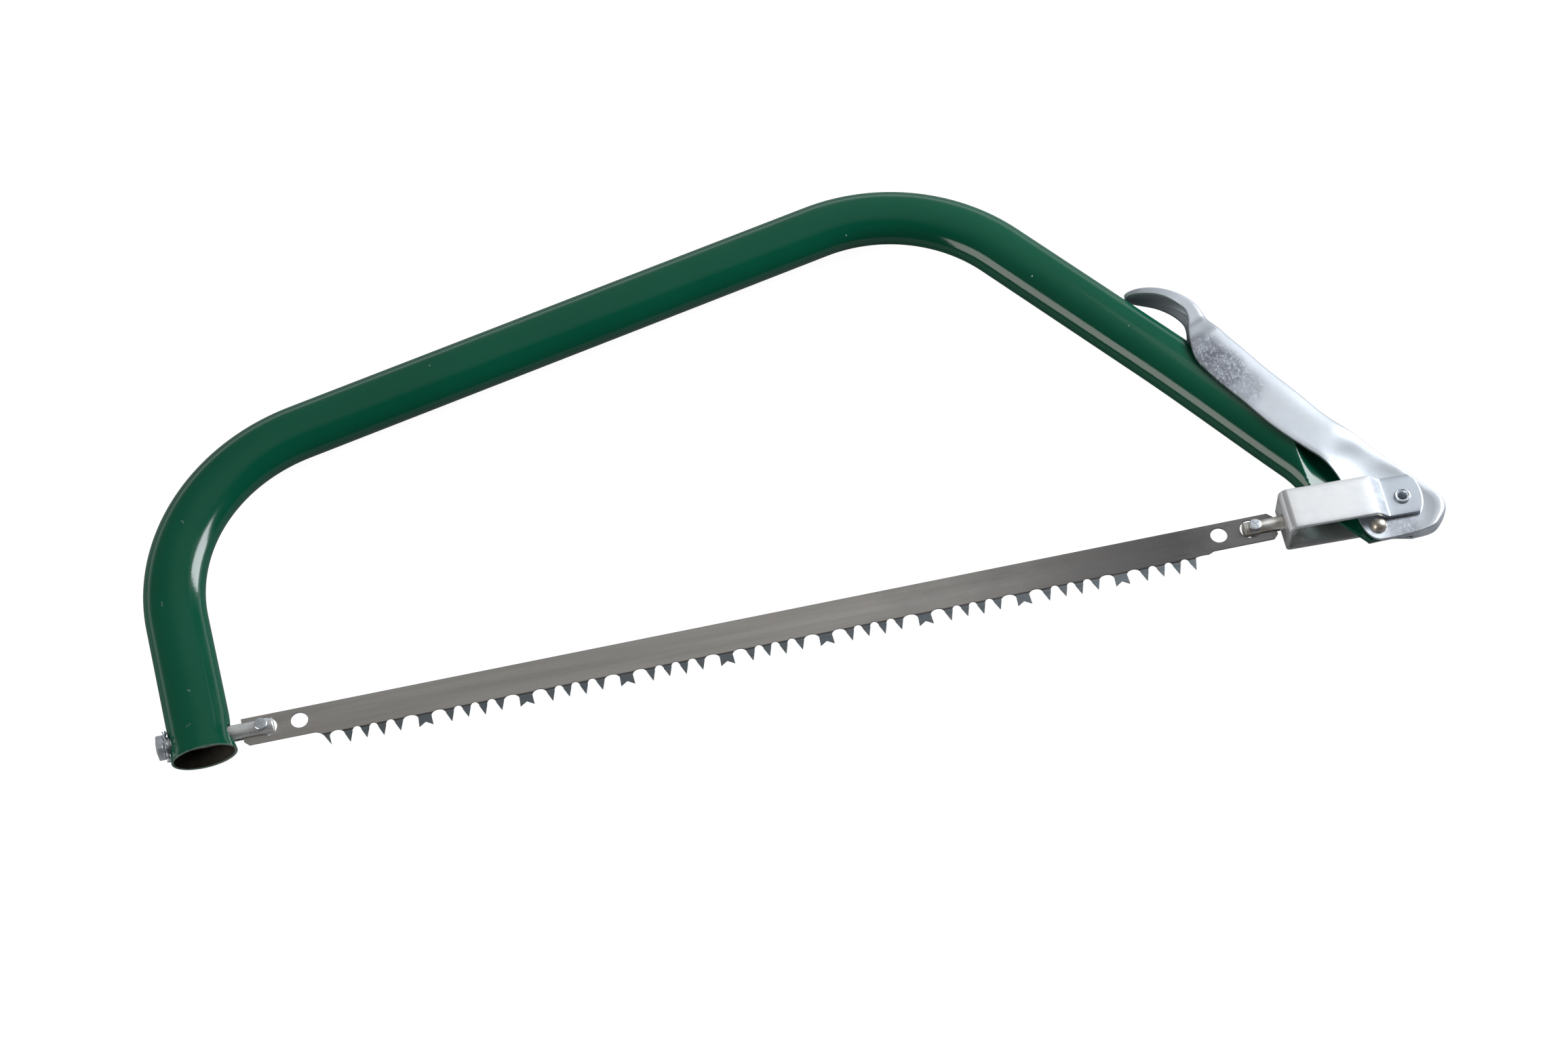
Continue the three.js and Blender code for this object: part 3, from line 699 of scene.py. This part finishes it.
# ---------------- lever
# Free edge (beside the tube) and spine edge in plan, from the nose to the tip of the hook.
LEVER_EDGES = [
    (591.2, -23.6, 600.0, -23.5),
    (588.0, -21.6, 612.0, -23.1),
    (585.6, -18.0, 622.4, -22.0),
    (584.4, -13.0, 626.6, -18.7),
    (583.6, -6.0, 630.9, -12.6),
    (583.0, 1.5, 631.6, -6.8),
    (582.2, 9.0, 627.0, 0.8),
    (580.5, 16.5, 618.4, 13.0),
    (576.0, 26.2, 607.9, 26.4),
    (566.5, 36.8, 595.8, 40.5),
    (554.3, 53.2, 584.5, 54.6),
    (544.3, 70.3, 574.0, 72.3),
    (531.5, 91.7, 561.9, 91.8),
    (526.4, 103.0, 553.4, 107.2),
    (525.9, 111.0, 547.2, 117.9),
    (527.1, 118.9, 543.6, 125.5),
    (529.1, 126.5, 541.2, 132.0),
    (531.2, 134.1, 538.9, 138.5),
    (531.2, 140.0, 535.7, 144.6),
    (527.0, 147.3, 529.2, 151.4),
    (519.2, 153.9, 519.9, 157.0),
    (509.8, 157.2, 510.1, 160.2),
    (502.2, 158.3, 502.4, 161.2),
]


def through(points, k):
    """A smooth curve through points (centripetal Catmull-Rom), at position k counted in points."""
    points = np.asarray(points, float)
    last = len(points) - 1
    i = min(int(k), last - 1)
    t = k - i
    p1, p2 = points[i], points[i + 1]
    p0 = points[i - 1] if i > 0 else 2 * p1 - p2
    p3 = points[i + 2] if i + 2 <= last else 2 * p2 - p1
    d0, d1, d2 = (math.sqrt(np.linalg.norm(b - a)) for a, b in ((p0, p1), (p1, p2), (p2, p3)))
    m1 = ((p1 - p0) / d0 - (p2 - p0) / (d0 + d1) + (p2 - p1) / d1) * d1
    m2 = ((p2 - p1) / d1 - (p3 - p1) / (d1 + d2) + (p3 - p2) / d2) * d1
    a, b = 2 * p1 - 2 * p2 + m1 + m2, -3 * p1 + 3 * p2 - 2 * m1 - m2
    return ((a * t + b) * t + m1) * t + p1


def lever_depth(x, y, k, across):
    """Half depth of the lever's outside: narrow at the pressed nose, wide beside the tube."""
    past_nose = np.hypot(x - LEVER_NOSE[0], y - LEVER_NOSE[1]) - LEVER_NOSE_REACH
    flare = smooth_min(1.0, -smooth_min(0.0, -past_nose / LEVER_FLARE, 0.2), 0.2)
    full = mix(LEVER_DEPTH, LEVER_SPINE_DEPTH, np.clip(across, 0, 1) ** 9)
    full -= 1.6 * (1 - smoothstep(24, 42, y))
    body = mix(full, HOOK_DEPTH, smoothstep(14.3, 16.4, k))
    last = len(LEVER_EDGES) - 1
    left = min((last - k) / 3, 1)
    tip = math.sqrt(max(0.0, 1 - (1 - left) ** 2)) * 0.82 + 0.18 if left < 1 else 1.0
    return mix(LEVER_NOSE_DEPTH, body, flare) * tip


def lever_ring(k):
    """U-shaped section of folded sheet, open at the free edge."""
    free = through([e[:2] for e in LEVER_EDGES], k)
    spine = through([e[2:] for e in LEVER_EDGES], k)
    across = (spine - free) / np.linalg.norm(spine - free)
    widen = float(smoothstep(15, 18.5, k) * smoothstep(len(LEVER_EDGES) - 1, 20, k))
    free, spine = free - across * 0.9 * widen, spine + across * 1.0 * widen
    width = np.linalg.norm(spine - free)
    edge_depth = float(lever_depth(spine[0], spine[1], k, 1.0))
    bend = max(min(4.6, edge_depth * 0.6, width * 0.32), 0.3)
    sheet = min(LEVER_SHEET, edge_depth * 0.8)
    inner_bend = max(bend - sheet, 0.15)
    skin = min(sheet, width * 0.62)

    def face(reach, inset, radius):
        """Half a section from the free edge to the middle of the spine."""
        run = width - reach
        points = []
        for share in np.linspace(0, 1, 15):
            at = (run - radius) * share
            point = free + across * at
            depth = float(lever_depth(point[0], point[1], k, at / width))
            points.append((point, max(depth - inset, 0.1)))
        end = points[-1][1]
        radius_z = min(radius, end)
        for a in np.radians(np.linspace(90, 0, 8))[1:]:
            point = free + across * (run - radius + radius * math.cos(a))
            points.append((point, end - radius_z + radius_z * math.sin(a)))
        return points

    outer = face(0, 0, bend)
    inner = face(skin, sheet, min(inner_bend, (width - skin) * 0.5))
    lip = min(0.5, sheet * 0.3)
    outer[0] = (outer[0][0] + across * lip * 0.3, outer[0][1] - lip * 0.3)
    first = (free, outer[0][1] - lip)
    back_first = (free, inner[0][1] + lip)
    front = [first] + outer
    ring = [(p[0], p[1], z) for p, z in front]
    ring += [(p[0], p[1], -z) for p, z in front[::-1]]
    ring += [(free[0], free[1], -back_first[1])]
    inner[0] = (inner[0][0] + across * lip * 0.3, inner[0][1])
    ring += [(p[0], p[1], -z) for p, z in inner]
    ring += [(p[0], p[1], z) for p, z in inner[::-1]]
    ring += [(free[0], free[1], back_first[1])]
    return ring


def make_lever():
    last = len(LEVER_EDGES) - 1
    stations = np.linspace(0, last, last * 6 + 1)
    rings = [lever_ring(k) for k in stations]
    lever = rings_to_mesh("cam_lever", rings, 38)
    slot = [(570, -40), (599, -40), (606, -8), (612, 6), (616, 15.5), (612, 22), (570, 30)]
    back_cut = [(575, -20.2), (575, -40), (616, -40), (616, -24.4), (600, -20.8)]
    cutters = [
        prism(slot, -1.6, 1.6),
        prism(back_cut, -20, 0),
        rod_z(LEVER_PIVOT, RIVET_HOLE),
        rod_z(STRAP_PIVOT, RIVET_HOLE),
    ]
    return cut(lever, cutters, angle=38)


# ---------------- rivets
def make_lever_rivet():
    seat = 3.6
    profile = [(0, -seat - 2.4), (1.6, -seat - 2.3), (2.8, -seat - 1.9), (3.8, -seat - 1.2)]
    profile += [(4.25, -seat - 0.5), (4.3, -seat), (2.9, -seat)]
    profile += [(2.9, seat), (4.25, seat), (4.35, seat + 0.25)]
    for a in np.radians(np.linspace(8, 82, 14)):
        profile.append((4.35 * math.cos(a), seat + 0.2 + 3.8 * math.sin(a)))
    profile.append((0, seat + 4.0))
    return lathe("dome_rivet", profile, (*LEVER_PIVOT, 0), "z")


def make_stirrup_rivet():
    """A tubular rivet: both ends are rolled outwards over the ears."""
    seat = 6.05
    roll = 0.62
    half = [(2.9, 0), (2.9, seat)]
    for a in np.radians(range(-90, 180, 20)):
        half.append((3.65 + roll * math.cos(a), seat + roll + roll * math.sin(a)))
    half += [(2.75, seat + 0.75), (2.45, seat + 0.2), (2.2, seat - 0.8), (2.15, 0)]
    lower = [(r, -z) for r, z in half[1:-1]][::-1]
    return lathe("tubular_rivet", half + lower, (*STRAP_PIVOT, 0), "z")


# ---------------- materials
class Finish:
    """A material graph: a principled shader with named building blocks for its detail."""

    def __init__(self, name):
        self.material = bpy.data.materials.new(name)
        self.material.use_nodes = True
        self.tree = self.material.node_tree
        self.tree.nodes.clear()
        output = self.tree.nodes.new("ShaderNodeOutputMaterial")
        self.shader = self.tree.nodes.new("ShaderNodeBsdfPrincipled")
        self.tree.links.new(self.shader.outputs[0], output.inputs[0])
        self.place = self.tree.nodes.new("ShaderNodeTexCoord").outputs["Object"]

    def add(self, kind, values=None, **settings):
        node = self.tree.nodes.new(kind)
        for key, value in settings.items():
            setattr(node, key, value)
        for key, value in (values or {}).items():
            self.feed(node.inputs[key], value)
        return node

    def feed(self, socket, value):
        if isinstance(value, bpy.types.NodeSocket):
            self.tree.links.new(value, socket)
        else:
            socket.default_value = value

    def set(self, **values):
        for key, value in values.items():
            self.feed(self.shader.inputs[key.replace("_", " ")], value)

    def mapped(self, scale, turn=0.0):
        values = {"Vector": self.place, "Scale": scale, "Rotation": (0, 0, turn)}
        return self.add("ShaderNodeMapping", values).outputs[0]

    def noise(self, scale, detail=4.0, rough=0.55, at=None, warp=0.0):
        values = {
            "Vector": at or self.place, "Scale": scale, "Detail": detail,
            "Roughness": rough, "Distortion": warp,
        }
        return self.add("ShaderNodeTexNoise", values).outputs["Fac"]

    def cells(self, scale):
        """A grey level of its own for every cell of a random pattern."""
        values = {"Vector": self.place, "Scale": scale}
        colour = self.add("ShaderNodeTexVoronoi", values).outputs["Color"]
        return self.add("ShaderNodeRGBToBW", {0: colour}).outputs[0]

    def span(self, value, low, high, out_low=0.0, out_high=1.0):
        values = {
            "Value": value, "From Min": low, "From Max": high, "To Min": out_low, "To Max": out_high,
        }
        return self.add("ShaderNodeMapRange", values, interpolation_type="SMOOTHSTEP").outputs[0]

    def math(self, operation, a, b=0.0, c=None):
        node = self.add("ShaderNodeMath", operation=operation)
        self.feed(node.inputs[0], a)
        self.feed(node.inputs[1], b)
        if c is not None:
            self.feed(node.inputs[2], c)
        return node.outputs[0]

    def blend(self, factor, a, b):
        node = self.add("ShaderNodeMix", data_type="RGBA")
        self.feed(node.inputs[0], factor)
        self.feed(node.inputs[6], a if isinstance(a, bpy.types.NodeSocket) else (*a, 1))
        self.feed(node.inputs[7], b if isinstance(b, bpy.types.NodeSocket) else (*b, 1))
        return node.outputs[2]

    def axis(self, name):
        return self.add("ShaderNodeSeparateXYZ", {0: self.place}).outputs[name]

    def from_point(self, x, y):
        """The flat vector to the surface from a plan point of the saw."""
        centre = (*(ORIGIN[:2] + np.array([x, y]) * MM), 0)
        flat = self.add("ShaderNodeVectorMath", {0: self.place, 1: (1, 1, 0)}, operation="MULTIPLY")
        values = {0: flat.outputs[0], 1: centre}
        return self.add("ShaderNodeVectorMath", values, operation="SUBTRACT").outputs[0]

    def length(self, vector):
        return self.add("ShaderNodeVectorMath", {0: vector}, operation="LENGTH").outputs["Value"]

    def near(self, x, y, radius, falloff):
        """1 close to a plan point of the saw, 0 beyond radius + falloff (millimetres)."""
        away = self.length(self.from_point(x, y))
        return self.span(away, radius * MM, (radius + falloff) * MM, 1.0, 0.0)

    def stroke(self, x, y, turn, length, width):
        """1 on a short mark centred at a plan point of the saw, fading to 0 at its ends and sides."""
        values = {"Vector": self.from_point(x, y), "Angle": turn}
        spun = self.add("ShaderNodeVectorRotate", values, rotation_type="Z_AXIS").outputs[0]
        size = (1 / (length * MM), 1 / (width * MM), 0)
        share = self.add("ShaderNodeVectorMath", {0: spun, 1: size}, operation="MULTIPLY").outputs[0]
        return self.span(self.length(share), 0.5, 1.0, 1.0, 0.0)

    def bump(self, height, strength, distance, normal=None):
        values = {"Height": height, "Strength": strength, "Distance": distance * MM}
        if normal is not None:
            values["Normal"] = normal
        return self.add("ShaderNodeBump", values).outputs[0]


# Specks of dust (x, y, size) and scratches (x, y, turn, length) on the tube.
DUST = ((454.4, 179.3, 0.5), (361.2, 232.2, 0.35), (497, 134, 0.3), (120, 196, 0.3))
SCRATCHES = ((-36, 4, -0.6, 2.2), (-40.6, 79, 1.4, 2.0), (-24, 126.6, 1.0, 1.8), (-33, 24, 0.8, 1.2))


def enamel():
    """Glossy green enamel with a little orange peel, bare and rusty inside the tube."""
    f = Finish("green_enamel")
    cloud = f.noise(14, 3)
    base = f.blend(f.span(cloud, 0.3, 0.7), (0.0003, 0.077, 0.040), (0.0008, 0.088, 0.046))
    for x, y, size in DUST:
        base = f.blend(f.stroke(x, y, 0, size, size), base, (0.75, 0.78, 0.72))
    for x, y, turn, length in SCRATCHES:
        broken = f.span(f.noise(700, 3), 0.35, 0.6, 0, 0.45)
        scratch = f.math("MULTIPLY", f.stroke(x, y, turn, length, 0.8), broken)
        base = f.blend(scratch, base, (0.35, 0.48, 0.40))
    inside = f.add("ShaderNodeAttribute", attribute_name="inside").outputs["Fac"]
    rust = f.blend(f.span(f.noise(240, 4), 0.4, 0.7), (0.016, 0.014, 0.009), (0.035, 0.027, 0.016))
    base = f.blend(inside, base, rust)
    rough = f.span(f.noise(38, 4), 0.25, 0.75, 0.10, 0.15)
    rough = f.math("MAXIMUM", rough, f.math("MULTIPLY", inside, 0.6))
    # The cut rim at the open end is paler: partly scraped paint, partly a painted highlight on the lip.
    up_leg = np.array(TUBE_REAR_CORNER) - np.array(TUBE_END)
    values = {0: f.from_point(*TUBE_END), 1: (*(up_leg / np.linalg.norm(up_leg)), 0)}
    reach = f.add("ShaderNodeVectorMath", values, operation="DOT_PRODUCT").outputs["Value"]
    wear_and_highlight = f.span(f.noise(300, 4), 0.3, 0.6, 0.25, 0.8)
    wear_and_highlight = f.math("MULTIPLY", wear_and_highlight, f.near(*TUBE_END, 24, 4))
    rim = f.math("MULTIPLY", f.span(reach, -0.1 * MM, 0.25 * MM, 1, 0), wear_and_highlight)
    base = f.blend(rim, base, (0.22, 0.33, 0.27))
    peel = f.noise(420, 2, 0.5)
    normal = f.bump(peel, 0.08, 0.2)
    f.set(Base_Color=base, Roughness=rough, Normal=normal)
    f.shader.inputs["Specular IOR Level"].default_value = 0.5
    return f.material


def zinc(name, tint, rough, dull=(0.62, 0.66, 0.72), relief=1.0, patches=(), joggle=False):
    """Bright zinc plate with a faint spangle and handling marks.

    Each patch is a place for dark blotches: x, y, radius, falloff and strength. With joggle set,
    painted shade darkens the sheet along the stirrup's joggle and on its ear.
    """
    f = Finish(name)
    cloud = f.noise(60, 5, 0.6)
    base = f.blend(f.span(cloud, 0.35, 0.75, 0, 0.5), tint, dull)
    base = f.blend(f.math("MULTIPLY", f.cells(310), 0.10), base, (0.95, 0.97, 1.0))
    roughness = f.span(cloud, 0.3, 0.7, rough[0], rough[1])
    lines = f.noise(300, 3, 0.6, at=f.mapped((0.06, 1, 1), 0.55))
    cross = f.noise(260, 3, 0.6, at=f.mapped((1, 0.07, 1), 0.2))
    height = f.math("ADD", f.math("MULTIPLY", lines, 0.5), f.math("MULTIPLY", cross, 0.4))
    for x, y, radius, falloff, amount in patches:
        here = f.near(x, y, radius, falloff)
        blotch_and_shade_mottle = f.noise(620, 6, 0.8, at=f.mapped((1, 0.6, 1), 0.6), warp=0.8)
        marks = f.math("MULTIPLY", here, f.span(blotch_and_shade_mottle, 0.34, 0.56, 0, amount))
        base = f.blend(marks, base, (0.16, 0.17, 0.21))
        height = f.math("ADD", height, f.math("MULTIPLY", marks, 0.8))
    if joggle:
        # Painted shade: the ear is darkened and a dark, mottled band is painted along the joggle, to hold
        # back the sheet's reflection of the right lamp there.
        x = f.math("SUBTRACT", f.axis("X"), float(ORIGIN[0]))
        base = f.blend(f.span(x, 593 * MM, 599 * MM), base, (0.54, 0.59, 0.65))
        off = f.math("ABSOLUTE", f.math("SUBTRACT", x, 597.5 * MM))
        blotch_and_shade_mottle = f.span(f.noise(330, 4, 0.7), 0.35, 0.65, 0.55, 1.0)
        joggle_shade = f.math("MULTIPLY", f.span(off, 2.1 * MM, 4.2 * MM, 0.5, 0), blotch_and_shade_mottle)
        base = f.blend(joggle_shade, base, (0.20, 0.21, 0.24))
    normal = f.bump(height, 0.12 * relief, 0.12, f.bump(f.noise(90, 3), 0.10 * relief, 0.35))
    f.set(Base_Color=base, Roughness=roughness, Normal=normal)
    f.shader.inputs["Metallic"].default_value = 0.75
    return f.material


def blade_steel():
    """Lengthwise ground steel, darker towards the front, with blued, hardened teeth."""
    f = Finish("ground_steel")
    grain = f.noise(900, 6, 0.7, at=f.mapped((0.018, 1, 1)))
    broad = f.noise(160, 4, 0.6, at=f.mapped((0.04, 1, 1)))
    cloud = f.noise(22, 4, 0.6)
    light = f.blend(f.span(broad, 0.3, 0.7), (0.57, 0.54, 0.505), (0.70, 0.665, 0.63))
    light = f.blend(f.span(grain, 0.35, 0.7, 0, 0.45), light, (0.36, 0.335, 0.31))
    dark = f.blend(f.span(cloud, 0.3, 0.7), (0.095, 0.092, 0.092), (0.17, 0.166, 0.166))
    x = f.axis("X")
    front = float(ORIGIN[0]) + BLADE_SPAN * MM
    wander = f.math("MULTIPLY_ADD", cloud, 0.12, -0.06)
    fade = f.span(f.math("ADD", x, wander), front - 0.22, front - 0.05, 0, 0.95)
    base = f.blend(fade, light, dark)
    scuff = f.noise(260, 5, 0.8, at=f.mapped((0.3, 1, 1), 0.3))
    base = f.blend(f.span(scuff, 0.66, 0.74, 0, 0.5), base, (0.5, 0.49, 0.47))
    y = f.axis("Y")
    line = float(ORIGIN[1]) - 11.0 * MM
    base = f.blend(f.span(y, line - 0.0001, line + 0.0001, 1, 0), base, (0.22, 0.25, 0.27))
    off_line = f.math("ABSOLUTE", f.math("SUBTRACT", y, line))
    base = f.blend(f.span(off_line, 0.0002, 0.0007, 0.75, 0), base, (0.035, 0.022, 0.014))
    rough = f.span(grain, 0.3, 0.7, 0.24, 0.42)
    normal = f.bump(grain, 0.22, 0.05)
    f.set(Base_Color=base, Roughness=rough, Normal=normal)
    f.shader.inputs["Metallic"].default_value = 0.88
    return f.material


def pin_steel(name, bright, brown, along="x"):
    """Turned steel with rings from the tool, browned in places."""
    f = Finish(name)
    scale = (1, 0.05, 0.05) if along == "x" else (0.05, 0.05, 1)
    rings = f.noise(1600, 3, 0.6, at=f.mapped(scale))
    cloud = f.noise(140, 5, 0.65)
    base = f.blend(f.span(cloud, 0.38, 0.66), bright, brown)
    base = f.blend(f.span(rings, 0.55, 0.75, 0, 0.4), base, (0.18, 0.17, 0.16))
    rough = f.span(f.noise(90, 4), 0.3, 0.7, 0.3, 0.45)
    f.set(Base_Color=base, Roughness=rough, Normal=f.bump(rings, 0.25, 0.06))
    f.shader.inputs["Metallic"].default_value = 0.8
    return f.material


# ---------------- pieces
def wear(obj, material, body, slot, *nodes):
    """Gives a piece its material and the body it rides on, and hides the CAD nodes it stands for; slot is
    not used.
    """
    obj.data.materials.clear()
    obj.data.materials.append(material)
    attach(obj, body)
    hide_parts(*nodes)


green = enamel()
lever_marks = ((532, 108, 6, 8, 0.8), (537, 95, 9, 8, 0.85), (546, 80, 6, 10, 0.55), (605, -18, 5, 8, 0.6))
lever_zinc = zinc("lever_zinc", (0.63, 0.67, 0.72), (0.35, 0.43), (0.50, 0.54, 0.60), patches=lever_marks)
strap_zinc = zinc("strap_zinc", (0.93, 0.94, 0.95), (0.28, 0.34), relief=0.8, joggle=True)
small_zinc = zinc("small_zinc", (0.70, 0.75, 0.80), (0.26, 0.36))
nickel = pin_steel("browned_nickel", (0.95, 0.94, 0.90), (0.66, 0.60, 0.52))
grey_rod = pin_steel("grey_rod", (0.95, 0.96, 0.97), (0.80, 0.80, 0.79))
dome = pin_steel("dome_nickel", (0.70, 0.66, 0.58), (0.48, 0.43, 0.36), "z")

wear(make_tube(), green, "frame", "enamel", "frame_tube")
wear(make_rear_pin(), grey_rod, "frame", "pin_steel", "rear_blade_pin")
wear(make_cross_pin("rear_cross_rivet", 0, 5.0), small_zinc, "frame", "zinc", "rear_cross_pin")
wear(make_washer(), small_zinc, "frame", "zinc", "rear_lock_washer")
wear(make_nut(), small_zinc, "frame", "zinc", "rear_nut")
wear(make_lever_rivet(), dome, "frame", "pin_steel", "lever_rivet")
wear(make_blade(), blade_steel(), "blade", "blade_steel", "blade")
wear(make_front_pin(), nickel, "blade", "pin_steel", "front_blade_pin")
wear(make_cross_pin("front_cross_rivet", BLADE_SPAN, 4.7), small_zinc, "blade", "zinc", "front_cross_pin")
wear(make_stirrup(), strap_zinc, "stirrup", "zinc", "stirrup")
wear(make_stirrup_rivet(), small_zinc, "stirrup", "zinc", "stirrup_rivet")
wear(make_lever(), lever_zinc, "lever", "zinc", "lever")


# ---------------- studio
def make_floor():
    """White paper to the camera; the saw itself sees a grey table, so its underside stays dark."""
    size = 12.0
    mesh = bpy.data.meshes.new("floor")
    corners = [(-size, -size, 0), (size, -size, 0), (size, size, 0), (-size, size, 0)]
    mesh.from_pydata(corners, [], [(0, 1, 2, 3)])
    floor = bpy.data.objects.new("floor", mesh)
    bpy.context.scene.collection.objects.link(floor)
    material = bpy.data.materials.new("white_paper")
    material.use_nodes = True
    tree = material.node_tree
    tree.nodes.clear()
    output = tree.nodes.new("ShaderNodeOutputMaterial")
    paper = tree.nodes.new("ShaderNodeBsdfPrincipled")
    paper.inputs["Base Color"].default_value = (0.25, 0.25, 0.25, 1)
    paper.inputs["Roughness"].default_value = 0.9
    paper.inputs["Emission Color"].default_value = (1, 1, 1, 1)
    paper.inputs["Emission Strength"].default_value = 0.95
    table = tree.nodes.new("ShaderNodeBsdfDiffuse")
    table.inputs["Color"].default_value = (0.38, 0.38, 0.39, 1)
    path = tree.nodes.new("ShaderNodeLightPath")
    choice = tree.nodes.new("ShaderNodeMixShader")
    tree.links.new(path.outputs["Is Camera Ray"], choice.inputs[0])
    tree.links.new(table.outputs[0], choice.inputs[1])
    tree.links.new(paper.outputs[0], choice.inputs[2])
    tree.links.new(choice.outputs[0], output.inputs[0])
    mesh.materials.append(material)


def softbox(name, place, target, width, height, power, colour=(1, 1, 1)):
    """An area lamp at a place, facing a target."""
    light = bpy.data.lights.new(name, "AREA")
    light.shape = "RECTANGLE"
    light.size = width
    light.size_y = height
    light.energy = power
    light.color = colour
    lamp = bpy.data.objects.new(name, light)
    bpy.context.scene.collection.objects.link(lamp)
    direction = Vector(target) - Vector(place)
    lamp.location = place
    lamp.rotation_euler = direction.to_track_quat("-Z", "Y").to_euler()


def make_camera():
    """The photograph's view: from in front and above, turned a little and rolled."""
    azimuth, elevation, roll = math.radians(-9.62), math.radians(58.37), math.radians(-3.0)
    distance = 1.805
    target = Vector((0, -0.0578, 0.01305))
    back = Vector((
        math.sin(azimuth) * math.cos(elevation),
        -math.cos(azimuth) * math.cos(elevation),
        math.sin(elevation),
    ))
    right = (-back).cross(Vector((0, 0, 1))).normalized()
    up = right.cross(-back)
    rolled_right = math.cos(roll) * right + math.sin(roll) * up
    rolled_up = -math.sin(roll) * right + math.cos(roll) * up
    camera_data = bpy.data.cameras.new("camera")
    camera_data.sensor_width = 36
    camera_data.lens = 77.9
    camera_data.clip_end = 50
    camera = bpy.data.objects.new("camera", camera_data)
    bpy.context.scene.collection.objects.link(camera)
    axes = Matrix((rolled_right, rolled_up, back)).transposed().to_4x4()
    camera.matrix_world = Matrix.Translation(target + back * distance) @ axes
    bpy.context.scene.camera = camera


def make_world():
    """A grey panel overhead and behind the saw, a pale horizon behind it, and dark in front."""
    world = bpy.data.worlds.new("studio")
    world.use_nodes = True
    tree = world.node_tree
    background = tree.nodes["Background"]
    split = tree.nodes.new("ShaderNodeSeparateXYZ")
    tree.links.new(tree.nodes.new("ShaderNodeTexCoord").outputs["Generated"], split.inputs[0])

    def span(axis, low, high, out_low, out_high):
        node = tree.nodes.new("ShaderNodeMapRange")
        node.interpolation_type = "SMOOTHSTEP"
        limits = {"From Min": low, "From Max": high, "To Min": out_low, "To Max": out_high}
        for socket, value in limits.items():
            node.inputs[socket].default_value = value
        tree.links.new(split.outputs[axis], node.inputs["Value"])
        return node.outputs[0]

    def both(operation, a, b):
        node = tree.nodes.new("ShaderNodeMath")
        node.operation = operation
        tree.links.new(a, node.inputs[0])
        tree.links.new(b, node.inputs[1])
        return node.outputs[0]

    panel = both("MULTIPLY", span("X", -0.35, 0.12, 0.14, 0.30), span("X", 0.40, 0.65, 1.0, 0.25))
    horizon = span("Z", 0.04, 0.32, 1.0, 0.0)
    behind = both("MULTIPLY", both("ADD", panel, horizon), span("Y", -0.14, 0.12, 0.0, 1.0))
    front = span("Y", -0.05, 0.10, 0.05, 0.0)
    level = both("ADD", behind, front)
    path = tree.nodes.new("ShaderNodeLightPath")
    choice = tree.nodes.new("ShaderNodeMix")
    choice.inputs[3].default_value = 1.0
    tree.links.new(path.outputs["Is Camera Ray"], choice.inputs[0])
    tree.links.new(level, choice.inputs[2])
    tree.links.new(choice.outputs[0], background.inputs[1])
    background.inputs[0].default_value = (0.97, 0.985, 1.0, 1)
    bpy.context.scene.world = world


make_floor()
make_camera()
make_world()
softbox("left", (-1.63, -0.59, 1.00), (0, 0, 0), 1.05, 1.25, 16, (1, 0.98, 0.93))
softbox("ceiling", (0.49, 0.39, 0.85), (0.24, -0.10, 0), 0.36, 0.36, 0.18)
softbox("right", (1.64, 0.50, 1.03), (0, 0, 0), 0.95, 1.25, 46, (0.94, 0.97, 1.0))
bpy.context.scene.view_settings.view_transform = "Standard"
